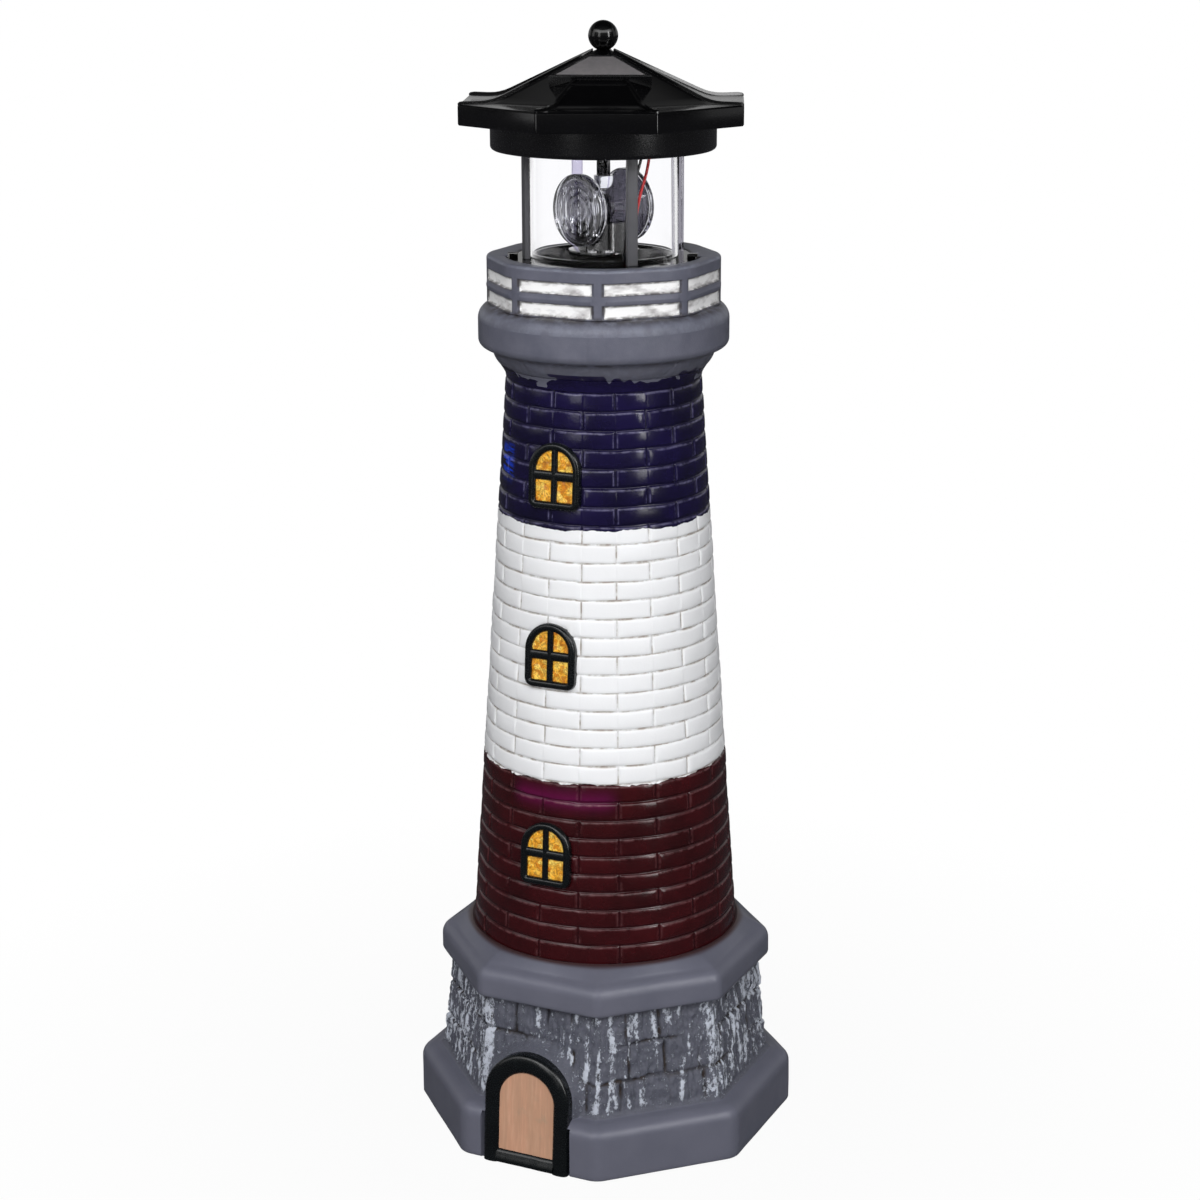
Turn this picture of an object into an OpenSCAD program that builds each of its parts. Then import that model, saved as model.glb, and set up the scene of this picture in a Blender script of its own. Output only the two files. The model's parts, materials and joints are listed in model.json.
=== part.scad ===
// Solar garden lighthouse: a painted brick tower on a stone base, with a lantern
// that lifts out of the gallery and a twin-lens beacon that a small motor turns.
// The door and the windows face -Y, and the origin is the centre of the foot.

/* [Stone base] */
// Plinth, across its corners
plinth_w = 151; // [140:0.5:165]
// Height of the plinth
plinth_h = 22.5; // [19:0.5:28]
// Stone wall, across its corners at the foot
wall_foot_w = 131.5; // [126:0.5:136]
// Stone wall, across its corners at the top
wall_top_w = 122.5; // [119:0.5:126]
// Height of the stone wall
wall_h = 41.5; // [34:0.5:55]
// Ledge above the wall, across its corners
ledge_w = 132; // [128:0.5:140]
// Height of the ledge
ledge_h = 17; // [14:0.5:22]
// Wall thickness of the cast shells
shell_t = 3.2; // [2.6:0.1:4]
// Radius of the plinth's corners
plinth_corner_r = 9; // [5:0.5:12]
// Radius of the ledge's corners
ledge_corner_r = 6; // [3:0.5:9]
// Radius of the stone wall's corners
wall_corner_r = 2.5; // [1.5:0.5:4]

/* [Tower] */
// Radius of the brickwork at its foot
tower_foot_r = 52.1; // [51:0.1:54]
// Radius of the brickwork at its top
tower_top_r = 37.1; // [36.5:0.1:40]
// Number of brick courses
course_n = 31; // [24:1:36]
// Height of one brick course, joint included
course_h = 7.05; // [6:0.05:8]
// Width of the mortar joints
joint_w = 1.1; // [0.8:0.1:1.6]
// Depth of the mortar joints
joint_d = 0.6; // [0.3:0.1:0.9]
// Height of the plain neck above the bricks
neck_h = 4.5; // [3:0.5:8]

/* [Gallery] */
// Radius of the rounded ring under the gallery
ring_r = 47.2; // [46.5:0.1:50]
// Height of the rounded ring
ring_h = 17.5; // [15:0.5:20]
// Height of the cove between the tower and the ring
cove_h = 5.4; // [4:0.2:8]
// Rail, across its corners
rail_w = 88.4; // [87.5:0.1:92]
// Height of the rail
rail_h = 18; // [16:0.5:22]
// Depth of the rail's panels
panel_d = 1.2; // [0.6:0.1:1.4]
// Width of the rail's posts
rail_post_w = 5; // [3.5:0.1:7]

/* [Door and windows] */
// Width over the door frame
door_w = 36; // [32:0.5:40]
// Height over the door frame
door_h = 46; // [42:0.5:54]
// Width of the door frame's band
door_band = 6.6; // [5:0.1:7.5]
// Lean of the door frame from upright, in degrees
door_lean = 4; // [2.5:0.5:6]
// Width over a window frame
window_w = 20.9; // [18:0.1:23]
// Height over a window frame
window_h = 25; // [22:0.5:28]
// Width of a window frame's band
window_band = 3; // [2:0.1:4]
// Width of the bars between the panes
muntin_w = 2.2; // [1.4:0.1:3]
// Height of the lowest window's middle
window_low_z = 122.8; // [112:0.1:140]
// Height of the middle window's middle
window_mid_z = 200.2; // [180:0.1:220]
// Height of the top window's middle
window_high_z = 268.1; // [250:0.1:276]

/* [Lantern] */
// Outer radius of the clear tube
glass_r = 28; // [27.5:0.1:28.6]
// Wall thickness of the clear tube
glass_t = 1.4; // [1:0.1:1.8]
// Height of the clear tube and the posts
lantern_h = 40; // [38:0.5:50]
// Radius of the lantern's flange
flange_r = 36.4; // [35.5:0.1:37]
// Thickness of the lantern's flange
flange_t = 2.6; // [2:0.1:3.2]
// Outer radius of the can below the flange
can_r = 30.4; // [30:0.1:30.6]
// Wall thickness of the can
can_t = 1.8; // [1.4:0.1:2]
// Depth of the can below the flange
can_h = 54; // [53:0.5:60]
// Width of a post
post_w = 4; // [3:0.1:5]
// Thickness of a post
post_t = 2.1; // [1.6:0.1:2.6]
// Depth of the cup that the beacon turns in
cup_h = 6.6; // [6:0.1:8]

/* [Roof] */
// Roof, across its corners at the eave
roof_w = 111.6; // [108:0.2:116]
// Height of the upright edge of the eave
eave_h = 7.6; // [6:0.2:10]
// Slope of the roof's hips, in degrees
roof_slope = 24.2; // [20:0.2:28]
// Radius of the sweep at the foot of the slope
eave_sweep_r = 24; // [18:1:28]
// Width of the flat strip along the eave
eave_flat = 8; // [6:0.2:10]
// Wall thickness of the roof
roof_t = 2; // [1.6:0.1:2.4]
// Height of the ribs along the hips
rib_h = 1; // [0.6:0.1:1.5]
// Width of one rib
rib_w = 1.3; // [1:0.1:1.8]
// Radius of the collar under the roof
collar_r = 41.8; // [40:0.1:44]
// Height of the collar that shows under the roof
collar_h = 10.2; // [8:0.2:14]
// Radius of the ball on the roof
ball_r = 5.5; // [4:0.1:7]

/* [Beacon] */
// Radius of a lens
lens_r = 13; // [11:0.1:13.4]
// Thickness of a lens rim
lens_t = 2.6; // [2:0.1:3.2]
// Distance from the turning axis to the face of a lens
lens_reach = 13.8; // [13:0.1:14]
// Radius of the waist between the two reflectors
waist_r = 5; // [4:0.1:5.2]
// Wall thickness of a reflector
reflector_t = 1; // [0.8:0.1:1.4]
// Radius of the turntable's column
column_r = 9.5; // [8:0.1:10]
// Radius of the turntable's shaft
shaft_r = 2; // [1.5:0.1:2.2]
// Radial clearance of the shaft in its bush
shaft_gap = 0.05; // [0.03:0.01:0.08]
// Direction of the front lens from the door, in degrees
beacon_az = -20; // [-90:5:90]
// Teeth on the beacon's gear
gear_teeth = 42; // [36:2:44]
// Teeth on the motor's pinion
pinion_teeth = 14; // [14:1:16]
// Module of the gears
gear_mod = 0.6; // [0.55:0.05:0.65]

/* [Hidden] */
$fn = 96;
eps = 0.01;
fit = 0.2;

// Levels, from the ground up
wall_z = plinth_h;
ledge_z = wall_z + wall_h;
brick_z = ledge_z + ledge_h;
neck_z = brick_z + course_n * course_h;
tower_top_z = neck_z + neck_h;
ring_z = tower_top_z + cove_h;
rail_z = ring_z + ring_h;
deck_z = rail_z + rail_h;
flange_z = deck_z - 0.4;
seat_z = flange_z - flange_t;
can_z = seat_z - can_h;
ceiling_z = flange_z + lantern_h;
collar_z = ceiling_z - 0.8;
eave_z = collar_z + collar_h;
eave_top_z = eave_z + eave_h;
lens_z = flange_z + 17.6;
cup_floor_z = flange_z - cup_h;

// Outline of an octagon with rounded corners: its corner distance is r, its corner
// radius is rc and its first corner points in direction turn.
function oct_ring(r, rc, turn, n = 4) = [for (k = [0:7]) for (i = [0:n])
    let(a = turn + 45 * k, d = r - rc / cos(22.5), b = a - 22.5 + 45 * i / n)
    [d * cos(a) + rc * cos(b), d * sin(a) + rc * sin(b)]];

// Closed solid through a stack of outlines, given as [outline, height] from the foot up.
module loft(rings) {
    m = len(rings[0][0]);
    n = len(rings);
    points = [for (r = rings) for (p = r[0]) [p.x, p.y, r[1]]];
    foot = [for (i = [0:m - 1]) i];
    top = [for (i = [m - 1:-1:0]) (n - 1) * m + i];
    sides = [for (j = [0:n - 2]) for (i = [0:m - 1])
        let(a = j * m + i, b = j * m + (i + 1) % m)
        each [[a, a + m, b], [b, a + m, b + m]]];
    polyhedron(points, concat([foot, top], sides), convexity = 6);
}

// Turns a piece made facing -Y to direction az, counted from the door towards +X.
module face(az) {
    rotate([0, 0, az])
        children();
}

// Arched outline of a door or window, standing on the X axis.
module arch(w, h) {
    translate([-w / 2, 0])
        square([w, h - w / 2]);
    translate([0, h - w / 2])
        circle(d = w);
}

// Puts an outline drawn in X and Y upright on the plane that faces -Y, leaning back
// by lean, and extrudes it inwards from back behind that plane.
module upright(y, z, lean, back, depth) {
    translate([0, y, z])
        rotate([90 - lean, 0, 0])
            translate([0, 0, -back - depth])
                linear_extrude(depth)
                    children();
}

// Radius of the brickwork at height z.
function tower_r(z) = tower_foot_r
    + (tower_top_r - tower_foot_r) * (z - brick_z) / (neck_z - brick_z);

// Points of an arc of radius r about (x, y), from angle a to angle b in n steps.
function arc(x, y, r, a, b, n) = [for (i = [0:n])
    [x + r * cos(a + (b - a) * i / n), y + r * sin(a + (b - a) * i / n)]];

// ---------------------------------------------------------------- Stone base
foot_z = 0.6;
base_turn = 22.5;
plinth_edge_r = 5.5;
ledge_edge_r = 6;
cavity_r = wall_top_w / 2 - 1.25 * shell_t;
cover_r = plinth_w / 2 - 12.5;
cover_seat_w = 5.75;
seat_r = cover_r - cover_seat_w;
cover_z = 2.6;
cover_t = 2.4;
cover_screw_at = cover_r - cover_seat_w / 2;
cover_screw_r = 1.5;
cover_screw_head_r = 2.8;
cover_screw_l = 10;
tower_hole_r = tower_foot_r - shell_t - 3;
door_face = plinth_w / 2 * cos(22.5) + 1.2;
door_depth = 10;
door_sill_h = 6;
door_set_back = 1;

// Outline of the base, drawn in by d all round.
function base_ring(r, rc, d) = oct_ring(r - d / cos(22.5), max(rc - d, 1), base_turn);

module base_outside() {
    plinth = [for (a = [0:30:90])
        [base_ring(plinth_w / 2, plinth_corner_r, plinth_edge_r * (1 - cos(a))),
        plinth_h - plinth_edge_r * (1 - sin(a))]];
    wall = [[base_ring(wall_foot_w / 2 + 1, wall_corner_r, 0), wall_z + 0.4],
        [base_ring(wall_foot_w / 2, wall_corner_r, 0), wall_z + 2.4],
        [base_ring(wall_top_w / 2, wall_corner_r, 0), ledge_z]];
    ledge = [for (a = [0:23:69])
        [base_ring(ledge_w / 2, ledge_corner_r, ledge_edge_r * (1 - cos(a))),
        ledge_z + 7 + ledge_edge_r * sin(a)]];
    foot_ring = oct_ring((tower_foot_r + 1.3) / cos(22.5), 50, base_turn);
    loft(concat(
        [[base_ring(plinth_w / 2, plinth_corner_r, 0.8), foot_z],
        [base_ring(plinth_w / 2, plinth_corner_r, 0), foot_z + 0.8]],
        plinth,
        wall,
        [[base_ring(ledge_w / 2, ledge_corner_r, 1.2), ledge_z + 0.1],
        [base_ring(ledge_w / 2, ledge_corner_r, 0), ledge_z + 1.4]],
        ledge,
        [[foot_ring, brick_z - 0.6], [foot_ring, brick_z]]));
}

module door_outline() {
    arch(door_w, door_h);
}

module door_opening(gap) {
    translate([0, door_sill_h + gap])
        arch(door_w - 2 * door_band - 2 * gap, door_h - door_band - door_sill_h - 2 * gap);
}

// Cast shell of the stone base, with a ring that centres the tower.
module base_shell() {
    color("gray")
        difference() {
            union() {
                base_outside();
                translate([0, 0, brick_z - 1])
                    cylinder(r = tower_hole_r + 2.7, h = 5);
            }
            loft([[oct_ring(seat_r, 3, base_turn), foot_z - 1],
                [oct_ring(cavity_r, 3, base_turn), ledge_z + 5],
                [oct_ring(cavity_r - 7, 3, base_turn), ledge_z + 11.5]]);
            cylinder(r = tower_hole_r, h = brick_z + 10);
            translate([0, 0, foot_z - 1])
                linear_extrude(cover_z + cover_t - foot_z + 1)
                    polygon(oct_ring(cover_r + fit, 3, base_turn));
            for (a = [22.5:90:360])
                rotate([0, 0, a])
                    translate([cover_screw_at, 0, cover_z])
                        cylinder(r = cover_screw_r, h = cover_screw_l + 2);
            upright(-door_face, foot_z, door_lean, -8, door_depth + 8)
                door_outline();
            upright(-door_face, foot_z, door_lean, -8, door_depth + 8)
                translate([-door_w / 2, -3])
                    square([door_w, 6]);
        }
}

// Plate that closes the base from below.
module bottom_cover() {
    color("dimgray")
        difference() {
            translate([0, 0, cover_z])
                linear_extrude(cover_t)
                    polygon(oct_ring(cover_r, 3, base_turn));
            for (a = [22.5:90:360])
                rotate([0, 0, a])
                    translate([cover_screw_at, 0, cover_z - 1]) {
                        cylinder(r = cover_screw_r, h = cover_t + 2);
                        cylinder(r = cover_screw_head_r, h = 0.5 * cover_t + 1);
                    }
        }
}

// Four screws of the bottom cover.
module cover_screws() {
    color("silver")
        for (a = [22.5:90:360])
            rotate([0, 0, a])
                translate([cover_screw_at, 0, cover_z]) {
                    cylinder(r = cover_screw_head_r, h = 0.5 * cover_t);
                    cylinder(r = cover_screw_r, h = cover_screw_l);
                }
}

// Rubber foot number i, counted round from the front right.
module foot_pad(i) {
    color("black")
        rotate([0, 0, 90 * i - 45])
            translate([44, 0, 0])
                cylinder(r = 7, h = cover_z);
}

module foot_pad_1() {
    foot_pad(0);
}

module foot_pad_2() {
    foot_pad(1);
}

module foot_pad_3() {
    foot_pad(2);
}

module foot_pad_4() {
    foot_pad(3);
}

// Arched frame round the door, leaning against the stone wall.
module door_frame() {
    color("black")
        difference() {
            union() {
                upright(-door_face, foot_z, door_lean, 0, door_depth)
                    door_outline();
                upright(-door_face, foot_z, door_lean, -0.8, 2)
                    translate([-door_w / 2, 0])
                        square([door_w, 2.6]);
            }
            upright(-door_face, foot_z, door_lean, -3, door_depth + 6)
                door_opening(0);
        }
}

// Door leaf, set back in its frame.
module door_panel() {
    color("tan")
        upright(-door_face, foot_z, door_lean, door_set_back, door_depth - door_set_back)
            door_opening(fit / 2);
}

// -------------------------------------------------------------------- Tower
neck_flare = 1.9;
window_lean = atan((tower_foot_r - tower_top_r) / (neck_z - brick_z));
window_proud = 1.6;
window_depth = 5.6;

// Wall of the tower, with a groove at every joint between its brick courses.
module tower_shell() {
    outside = [for (k = [1:course_n])
        let(z = brick_z + k * course_h, j = joint_w / 2)
        each [[tower_r(z - j), z - j], [tower_r(z) - joint_d, z - j],
        [tower_r(z) - joint_d, z + j], [tower_r(z + j), z + j]]];
    neck = [[tower_top_r + 0.12 * neck_flare, neck_z + 0.35 * neck_h],
        [tower_top_r + 0.5 * neck_flare, neck_z + 0.67 * neck_h],
        [tower_top_r + neck_flare, tower_top_z]];
    inside = [[tower_top_r - shell_t, tower_top_z], [tower_top_r - shell_t, neck_z],
        [tower_foot_r - shell_t, brick_z]];
    color("white")
        difference() {
            rotate_extrude()
                polygon(concat([[tower_foot_r, brick_z]], outside, neck, inside));
            window_hole(window_low_z);
            window_hole(window_mid_z);
            window_hole(window_high_z);
        }
}

module window_outline() {
    arch(window_w, window_h);
}

module window_opening(gap) {
    translate([0, window_band + gap])
        arch(window_w - 2 * window_band - 2 * gap, window_h - 2 * window_band - 2 * gap);
}

// Puts a window's outline on the tower with its middle at height z, its outer face
// set back by back from the frame's face.
module on_tower(z, back, depth) {
    upright(-tower_r(z - window_h / 2) - window_proud, z - window_h / 2, window_lean, back, depth)
        children();
}

module window_hole(z) {
    on_tower(z, -3, window_depth + 8)
        window_outline();
}

// Arched frame with its cross of bars.
module window_frame(z) {
    color("black")
        union() {
            difference() {
                on_tower(z, 0, window_depth)
                    window_outline();
                on_tower(z, -1, window_depth + 2)
                    window_opening(0);
            }
            on_tower(z, 0.3, 0.85)
                intersection() {
                    window_outline();
                    union() {
                        translate([-muntin_w / 2, 1])
                            square([muntin_w, window_h - 2]);
                        translate([1 - window_w / 2, 0.46 * window_h])
                            square([window_w - 2, muntin_w + 0.4]);
                    }
                }
        }
}

// Amber pane behind the bars.
module window_pane(z) {
    color("orange")
        on_tower(z, 1.2, 3)
            window_opening(fit / 4);
}

module window_frame_low() {
    window_frame(window_low_z);
}

module window_frame_mid() {
    window_frame(window_mid_z);
}

module window_frame_high() {
    window_frame(window_high_z);
}

module window_pane_low() {
    window_pane(window_low_z);
}

module window_pane_mid() {
    window_pane(window_mid_z);
}

module window_pane_high() {
    window_pane(window_high_z);
}

// ------------------------------------------------------------------ Gallery
ring_edge_r = 5.5;
rail_corner_r = 6;
key_az = 22.5;
key_angle = 160;
flange_rear_r = can_r + 2;
seat_gap = 0.4;

// Sector of a ring between two radii, centred on direction az.
module sector(r1, r2, angle, az, z1, z2) {
    rotate([0, 0, az - 90 - angle / 2])
        rotate_extrude(angle = angle)
            translate([r1, z1])
                square([r2 - r1, z2 - z1]);
}

// Cove, rounded ring and panelled rail, with a stepped seat for the lantern.
module gallery_deck() {
    top_r = tower_top_r + neck_flare;
    profile = concat(
        [[can_r + 0.5, tower_top_z], [top_r, tower_top_z], [top_r + 0.5 * cove_h, ring_z]],
        arc(ring_r - ring_edge_r, ring_z + ring_edge_r, ring_edge_r, -70, 0, 5),
        arc(ring_r - ring_edge_r, rail_z - ring_edge_r, ring_edge_r, 0, 80, 5),
        [[can_r + 0.5, rail_z]]);
    color("gray")
        difference() {
            union() {
                rotate_extrude()
                    polygon(profile);
                translate([0, 0, rail_z - 1])
                    linear_extrude(rail_h + 1)
                        polygon(oct_ring(rail_w / 2, rail_corner_r, base_turn));
            }
            translate([0, 0, tower_top_z - 1])
                cylinder(r = can_r + 0.5, h = deck_z);
            translate([0, 0, seat_z - 0.3])
                cylinder(r = flange_rear_r + seat_gap, h = 10);
            sector(20, flange_r + seat_gap, key_angle + 2, key_az, seat_z - 0.3, deck_z + 1);
            for (a = [0:45:315])
                rotate([0, 0, a])
                    rail_panels();
        }
}

// The two panels sunk in one side of the rail.
module rail_panels() {
    side = rail_w * sin(22.5);
    w = side - rail_post_w - 1.5;
    y = -rail_w / 2 * cos(22.5);
    for (z = [[0.03, 0.3], [0.48, 0.73]])
        translate([-w / 2, y - 1, rail_z + z[0] * rail_h])
            cube([w, panel_d + 1, (z[1] - z[0]) * rail_h]);
}

// ------------------------------------------------------------------ Lantern
cup_r = 25.6;
cup_floor_r = 23.4;
cup_rim = 1.4;
floor_t = 2;
under_z = cup_floor_z - floor_t;
can_in_r = can_r - can_t;
boss_at = can_in_r - 2.6;
boss_angles = [0, 155, 205];
lower_cover_t = 2;
bush_r = 4;
wire_hole_r = 1.4;
red_az = 50;
black_az = 41;
cup_wire_at = 21.4;
red_top_az = 67;
black_top_az = 59;
top_wire_at = 24.9;

// Point at distance r in direction az, at height z.
function at_az(r, az, z) = [r * sin(az), -r * cos(az), z];

// Flange, cup and can in one moulding: the seat of the whole lantern.
module lantern_base() {
    profile = [[bush_r, under_z], [bush_r, cup_floor_z], [cup_floor_r, cup_floor_z],
        [cup_floor_r + 1.2, cup_floor_z + 1.4], [cup_r, flange_z + cup_rim],
        [cup_r + 0.8, flange_z + cup_rim], [cup_r + 0.8, flange_z],
        [flange_rear_r, flange_z], [flange_rear_r, seat_z], [can_r, seat_z],
        [can_r, can_z], [can_in_r, can_z], [can_in_r, under_z]];
    color("black")
        difference() {
            union() {
                rotate_extrude()
                    polygon(profile);
                sector(flange_rear_r - 1, flange_r, key_angle, key_az, seat_z, flange_z);
                for (s = [-1, 1])
                    face(key_az + s * (key_angle / 2 - 3.5))
                        translate([-1.8, -flange_r + 0.6, seat_z + 0.5])
                            cube([3.6, 3.2, flange_t + 1.1]);
                intersection() {
                    translate([0, 0, can_z])
                        cylinder(r = can_r - 0.5, h = under_z - can_z + 1);
                    for (a = boss_angles)
                        rotate([0, 0, a])
                            translate([boss_at, 0, can_z + lower_cover_t])
                                cylinder(r = 3, h = under_z - can_z - lower_cover_t + 1);
                }
            }
            for (a = boss_angles)
                rotate([0, 0, a])
                    translate([boss_at, 0, can_z])
                        cylinder(r = can_screw_r, h = can_screw_l + 2);
            for (p = [at_az(cup_wire_at, red_az, under_z - 1), at_az(cup_wire_at, black_az, under_z - 1)])
                translate(p)
                    cylinder(r = wire_hole_r, h = 12);
        }
}

// Clear tube round the beacon.
module lantern_glass() {
    color("lightcyan", 0.3)
        translate([0, 0, flange_z])
            difference() {
                cylinder(r = glass_r, h = lantern_h);
                translate([0, 0, -1])
                    cylinder(r = glass_r - glass_t, h = lantern_h + 2);
            }
}

// Flat upright on the outside of the tube, in direction az.
module post(az) {
    face(az)
        translate([-post_w / 2, -glass_r - 1.2 - post_t, flange_z])
            cube([post_w, post_t, lantern_h]);
}

module post_1() {
    color("dimgray")
        post(45);
}

module post_2() {
    color("dimgray")
        post(135);
}

module post_3() {
    color("gainsboro")
        post(225);
}

module post_4() {
    color("dimgray")
        post(315);
}

// --------------------------------------------------------------------- Roof
ceiling_t = 2;
collar_t = 2;
soffit_t = 2;
roof_rv = roof_w / 2;
eave_r = 1.6;
sweep_at = roof_rv - eave_flat;
slope_at = sweep_at - eave_sweep_r * sin(roof_slope);
slope_z = eave_top_z + eave_sweep_r * (1 - cos(roof_slope));
apex_at = 3;
apex_z = slope_z + (slope_at - apex_at) * tan(roof_slope);
ball_z = apex_z + 0.94 * ball_r;
facet_slope = atan(tan(roof_slope) / cos(22.5));
holder_w = 10;

// Distance and height of the roof's surface along a hip, from the eave to distance
// end from the axis, lifted by d.
function hip(d, end = apex_at) = concat(
    [for (a = [0:roof_slope / 4:roof_slope + eps])
        [sweep_at - eave_sweep_r * sin(a), eave_top_z + eave_sweep_r * (1 - cos(a)) + d]],
    [[end, apex_z - (end - apex_at) * tan(roof_slope) + d]]);

module roof_outside() {
    loft(concat(
        [[oct_ring(roof_rv - 0.4, eave_r, 0), eave_z], [oct_ring(roof_rv, eave_r, 0), eave_z + 0.5],
        [oct_ring(roof_rv, eave_r, 0), eave_top_z - 0.7],
        [oct_ring(roof_rv - 0.6, eave_r, 0), eave_top_z - 0.1]],
        [for (p = hip(0)) [oct_ring(p.x, 0.5, 0), p.y]]));
}

module roof_inside() {
    d = -1.1 * roof_t;
    edge = roof_rv - 1.2 * roof_t;
    loft(concat(
        [[oct_ring(edge, 1, 0), eave_z - 1], [oct_ring(edge, 1, 0), eave_top_z - roof_t]],
        [for (p = hip(d)) [oct_ring(p.x + 0.5, 0.5, 0), p.y]]));
}

// Thin rib along one hip, with its turned-up end at the corner of the eave.
module rib() {
    top = hip(rib_h, 0.8 * ball_r);
    under = hip(-0.9, 0.8 * ball_r);
    end = [[roof_rv - 0.8, eave_top_z - 0.9], [roof_rv - 0.3, eave_top_z - 0.4],
        [roof_rv - 0.3, eave_top_z + 0.3], [roof_rv - 0.9, eave_top_z + 0.8 * rib_h],
        [roof_rv - 2.2, eave_top_z + rib_h]];
    n = len(under);
    rotate([90, 0, 0])
        translate([0, 0, -rib_w / 2])
            linear_extrude(rib_w)
                polygon(concat([for (i = [n - 1:-1:0]) under[i]], end, top));
}

module roof_solid() {
    union() {
        roof_outside();
        for (k = [0:7])
            rotate([0, 0, 45 * k])
                rib();
    }
}

// Eight-sided roof with a rib on every hip.
module roof_shell() {
    color("black")
        difference() {
            roof_solid();
            roof_inside();
            translate([0, 0, apex_z - 12])
                cylinder(r = 1.6, h = 16);
        }
}

// Ball on the roof, with the stem that holds it.
module finial() {
    color("black")
        union() {
            difference() {
                translate([0, 0, ball_z])
                    sphere(r = ball_r);
                translate([0, 0, apex_z - 10])
                    cylinder(r = ball_r, h = 10);
            }
            translate([0, 0, apex_z - 6])
                cylinder(r = 1.5, h = 8);
        }
}

// Plan of the solar panel in its own plane, drawn in by d.
panel_az = 22.5;
panel_low = 22;
panel_high = 8.7;
panel_low_w = 37;
panel_high_w = 9.5;
panel_t = 2;

module panel_plan(d) {
    y = (panel_low - panel_high) / cos(facet_slope) / 2;
    polygon([[-panel_low_w / 2 + 2.2 * d, d - y], [panel_low_w / 2 - 2.2 * d, d - y],
        [panel_high_w / 2 - 0.4 * d, y - d], [-panel_high_w / 2 + 0.4 * d, y - d]]);
}

module on_facet(lift) {
    r = (panel_low + panel_high) / 2;
    z = apex_z + apex_at * tan(roof_slope) - r * tan(facet_slope);
    face(panel_az)
        translate([0, -r, z])
            rotate([facet_slope, 0, 0])
                translate([0, 0, lift])
                    children();
}

// Raised tray that carries the solar panel over the front of the roof.
module solar_frame() {
    color("black")
        difference() {
            on_facet(-4)
                linear_extrude(4 + panel_t)
                    panel_plan(0);
            on_facet(panel_t - 0.8)
                linear_extrude(2)
                    panel_plan(1);
            roof_solid();
            translate([0, 0, ball_z])
                sphere(r = ball_r + 0.2);
        }
}

// Solar panel in the tray.
module solar_panel() {
    color("dimgray")
        on_facet(panel_t - 0.8)
            linear_extrude(0.7)
                panel_plan(1.1);
}

// Collar under the roof, with the flat soffit inside the eave.
module roof_collar() {
    color("black")
        difference() {
            union() {
                rotate_extrude()
                    polygon(concat([[collar_r - collar_t, eave_z + 1],
                        [collar_r - collar_t, collar_z]],
                        arc(collar_r - 1.5, collar_z + 1.5, 1.5, -90, 0, 4),
                        [[collar_r, eave_z + 1]]));
                translate([0, 0, eave_z])
                    linear_extrude(soffit_t)
                        polygon(oct_ring(roof_rv - 1.2 * roof_t - fit, 1, 0));
            }
            translate([0, 0, eave_z - 1])
                cylinder(r = collar_r - collar_t, h = soffit_t + 2);
        }
}

// Ceiling of the lantern, with the holes for the lamp and its wires.
module ceiling_plate() {
    color("black")
        translate([0, 0, ceiling_z])
            difference() {
                cylinder(r = collar_r - collar_t - fit / 2, h = ceiling_t);
                translate([-holder_w / 4, -holder_w / 4, -1])
                    cube([holder_w / 2, holder_w / 2, ceiling_t + 2]);
                for (p = [at_az(top_wire_at, red_top_az, -1), at_az(top_wire_at, black_top_az, -1)])
                    translate(p)
                        cylinder(r = wire_hole_r, h = ceiling_t + 2);
            }
}

// Two-legged stub that holds the lamp under the ceiling.
module lamp_holder() {
    color("black")
        union() {
            translate([-holder_w / 2, -3.5, ceiling_z - 1.4])
                cube([holder_w, 7, 1.4]);
            translate([-2.4, -2.4, ceiling_z - 0.5])
                cube([4.8, 4.8, ceiling_t + 3.5]);
            for (x = [-2.3, 0.4])
                translate([x, -1.2, lamp_z])
                    cube([1.9, 2.4, ceiling_z - lamp_z]);
        }
}

lamp_r = 3.6;
lamp_z = lens_z + 11.4;
lamp_h = 5.8;

// Clear lamp that shines down between the reflectors.
module lamp_lens() {
    color("white", 0.5)
        rotate_extrude()
            polygon([[0, lamp_z], [lamp_r, lamp_z], [lamp_r, lamp_z - 0.8],
                [0.94 * lamp_r, lamp_z - 2.6], [0.8 * lamp_r, lamp_z - 4.2],
                [0.44 * lamp_r, lamp_z - 5.4], [0, lamp_z - lamp_h]]);
}

// ------------------------------------------------------------------- Beacon
gear_t = 4;
gear_z = under_z - 0.8 - gear_t;
backlash = 0.16;
hub_z = cup_floor_z + 1;
disc_z = flange_z + 0.9;
disc_t = 1.8;
disc_r = 13;
hub_r = 6;
column_top = lens_z - 4.6;
eyelet_r = 1.7;
eyelet_at = column_r + eyelet_r + 0.1;
eyelet_x = [-16, 16];
gear_centres = gear_mod * (gear_teeth + pinion_teeth) / 2;

// Half the angle that a tooth takes up at radius q, for n teeth.
function half_tooth(n, q) =
    let(r = n * gear_mod / 2, b = r * cos(20), t = sqrt(pow(max(q, b) / b, 2) - 1))
    90 / n + tan(20) * 180 / PI - 20 - t * 180 / PI + atan(t) - backlash / 4 / r * 180 / PI;

// Involute gear with n teeth, in the XY plane, with one tooth on the X axis.
module gear_plan(n) {
    r = n * gear_mod / 2;
    steps = [r - 1.2 * gear_mod, max(r * cos(20), r - 0.7 * gear_mod), r,
        r + 0.5 * gear_mod, r + 0.9 * gear_mod];
    m = len(steps) - 1;
    polygon([for (k = [0:n - 1])
        each concat(
        [for (i = [0:m]) let(a = 360 * k / n - half_tooth(n, steps[i]))
            [steps[i] * cos(a), steps[i] * sin(a)]],
        [for (i = [m:-1:0]) let(a = 360 * k / n + half_tooth(n, steps[i]))
            [steps[i] * cos(a), steps[i] * sin(a)]])]);
}

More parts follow.
